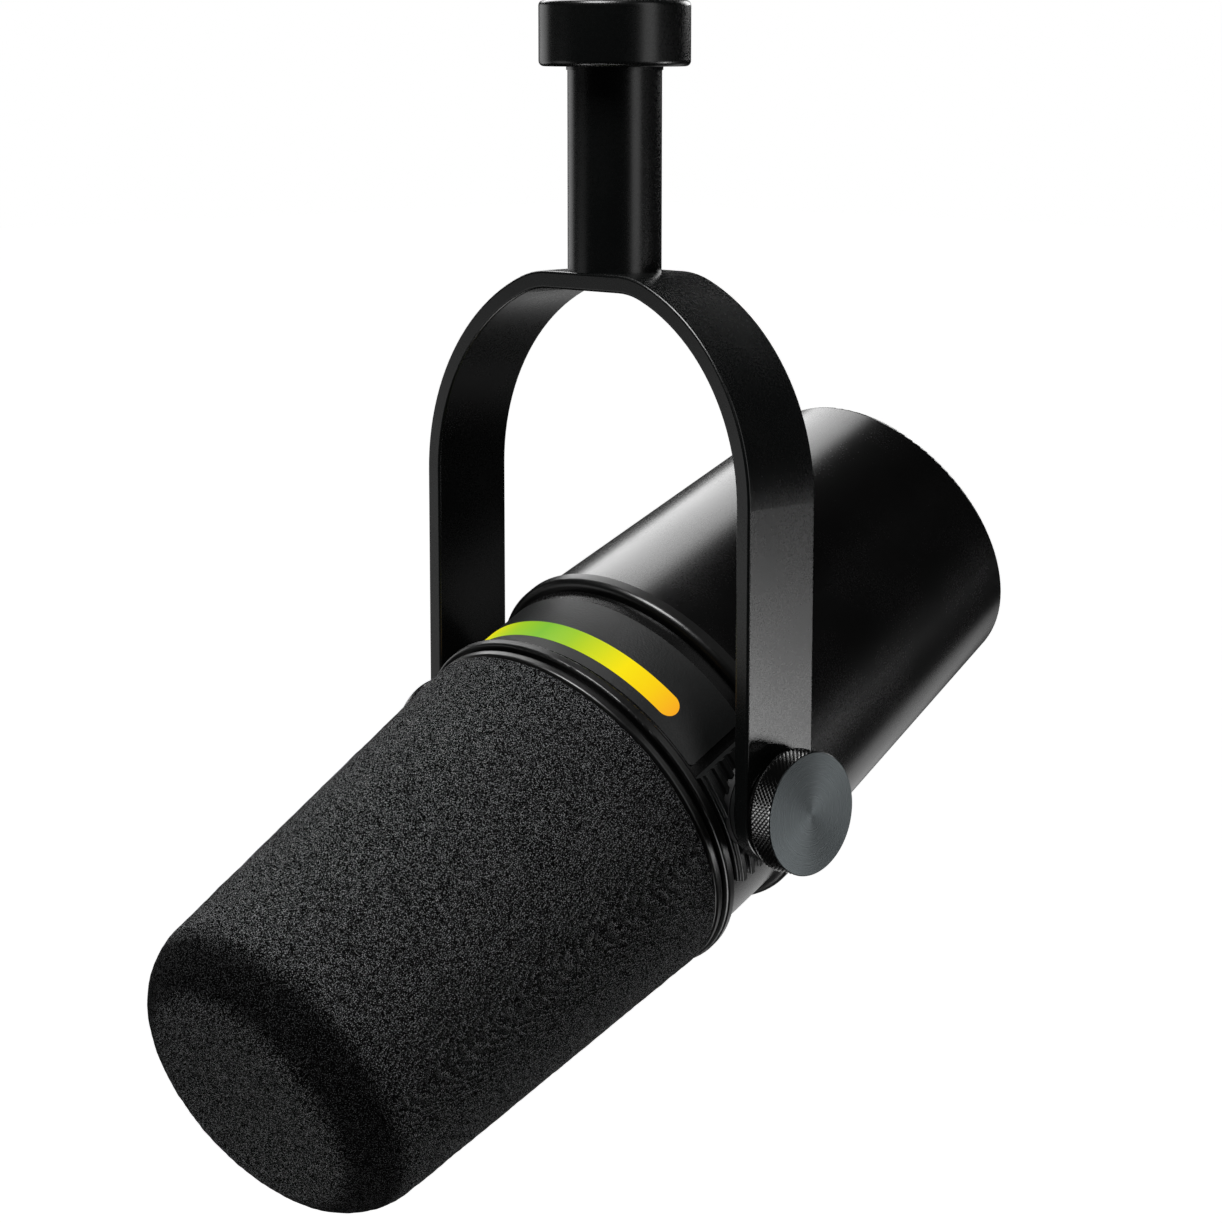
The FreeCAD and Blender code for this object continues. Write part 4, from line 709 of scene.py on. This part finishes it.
# ---------------------------------------------------------------- floor, light and camera
def toward(azimuth, elevation):
    """Unit direction: azimuth from +Y towards +X, elevation above the horizon, in degrees."""
    a, e = math.radians(azimuth), math.radians(elevation)
    return Vector((math.sin(a) * math.cos(e), math.cos(a) * math.cos(e), math.sin(e)))


def softbox(name, azimuth, elevation, distance, width, height, power):
    """Area light that faces the pivot."""
    lamp = bpy.data.lights.new(name, "AREA")
    lamp.shape, lamp.size, lamp.size_y = "RECTANGLE", width, height
    lamp.energy = power
    holder = bpy.data.objects.new(name, lamp)
    bpy.context.scene.collection.objects.link(holder)
    direction = toward(azimuth, elevation)
    holder.location = Vector(PIVOT) + direction * distance
    holder.rotation_euler = direction.to_track_quat("Z", "Y").to_euler()


# name, azimuth, elevation, distance, width and height in metres, watts
softbox("key_softbox", -63, 43, 1.1, 0.55, 0.85, 6.6)
softbox("left_fill", -86, 0, 1.0, 0.6, 0.5, 0.9)
softbox("front_left_fill", -135, -14, 1.0, 0.5, 0.5, 0.6)
softbox("side_strip", 82, 16, 1.0, 0.4, 1.1, 1.9)
softbox("low_side", 49.5, -17, 1.0, 0.27, 0.27, 2.3)
softbox("low_back", -18, -27, 1.0, 0.7, 0.3, 0.45)
softbox("rear_fill", -14, 20, 1.1, 0.5, 0.4, 3.0)
softbox("top_front", 175, 62, 1.1, 0.5, 0.5, 16)
softbox("under_front", -170, -70, 1.0, 0.6, 0.6, 6.5)

world = bpy.data.worlds.new("studio")
bpy.context.scene.world = world
world.use_nodes = True
tree = world.node_tree
tree.nodes.clear()
seen = add(tree, "ShaderNodeLightPath").outputs["Is Camera Ray"]
dim = add(tree, "ShaderNodeBackground", {"Color": linear("#ffffff"), "Strength": 0.008})
white = add(tree, "ShaderNodeBackground", {"Color": linear("#ffffff"), "Strength": 1.0})
both = add(tree, "ShaderNodeMixShader", {0: seen, 1: dim.outputs[0], 2: white.outputs[0]})
add(tree, "ShaderNodeOutputWorld", {"Surface": both.outputs[0]})

paper, tree, shader, place = finish_of("white_backdrop_paper", "#e8e8e6", 0.9)
fibre = add(tree, "ShaderNodeTexNoise", {"Vector": place, "Scale": 40.0, "Detail": 4.0})
tone = add(tree, "ShaderNodeMix", {"Factor": fibre.outputs[0], "A": linear("#e9e9e7"), "B": linear("#efefee")},
           data_type="RGBA")
tree.links.new(tone.outputs["Result"], shader.inputs["Base Color"])
shader.inputs["Emission Color"].default_value = linear("#ffffff")
shader.inputs["Emission Strength"].default_value = 1.0
# The backdrop lies below the lowest lights, and only the camera sees it.
bpy.ops.mesh.primitive_plane_add(size=40, location=(0, 0, -1.4))
floor = bpy.context.object
floor.name = "floor"
floor.data.materials.append(paper)
floor.visible_glossy = False
floor.visible_diffuse = False

# The camera stands to the right and a little above, looking back and down at the pivot.
VIEW_TURN, VIEW_DIP, VIEW_ROLL = math.radians(44.588), math.radians(9.821), math.radians(0.032)
CAMERA_FROM_PIVOT = (0.39098, -0.39746, 0.12447)        # metres
camera_data = bpy.data.cameras.new("camera")
camera = bpy.data.objects.new("camera", camera_data)
bpy.context.scene.collection.objects.link(camera)
bpy.context.scene.camera = camera
camera_data.sensor_fit = "HORIZONTAL"
camera_data.sensor_width = 36.0
camera_data.lens = 97.77
camera_data.clip_start, camera_data.clip_end = 0.01, 100.0
look = Vector((-math.sin(VIEW_TURN) * math.cos(VIEW_DIP), math.cos(VIEW_TURN) * math.cos(VIEW_DIP),
               -math.sin(VIEW_DIP)))
right = Vector((math.cos(VIEW_TURN), math.sin(VIEW_TURN), 0.0))
above = right.cross(look)
right, above = (right * math.cos(VIEW_ROLL) + above * math.sin(VIEW_ROLL),
                above * math.cos(VIEW_ROLL) - right * math.sin(VIEW_ROLL))
camera.matrix_world = Matrix([
    (right[k], above[k], -look[k], PIVOT[k] + CAMERA_FROM_PIVOT[k]) for k in range(3)] + [(0, 0, 0, 1)])

bpy.context.scene.view_settings.view_transform = "Standard"
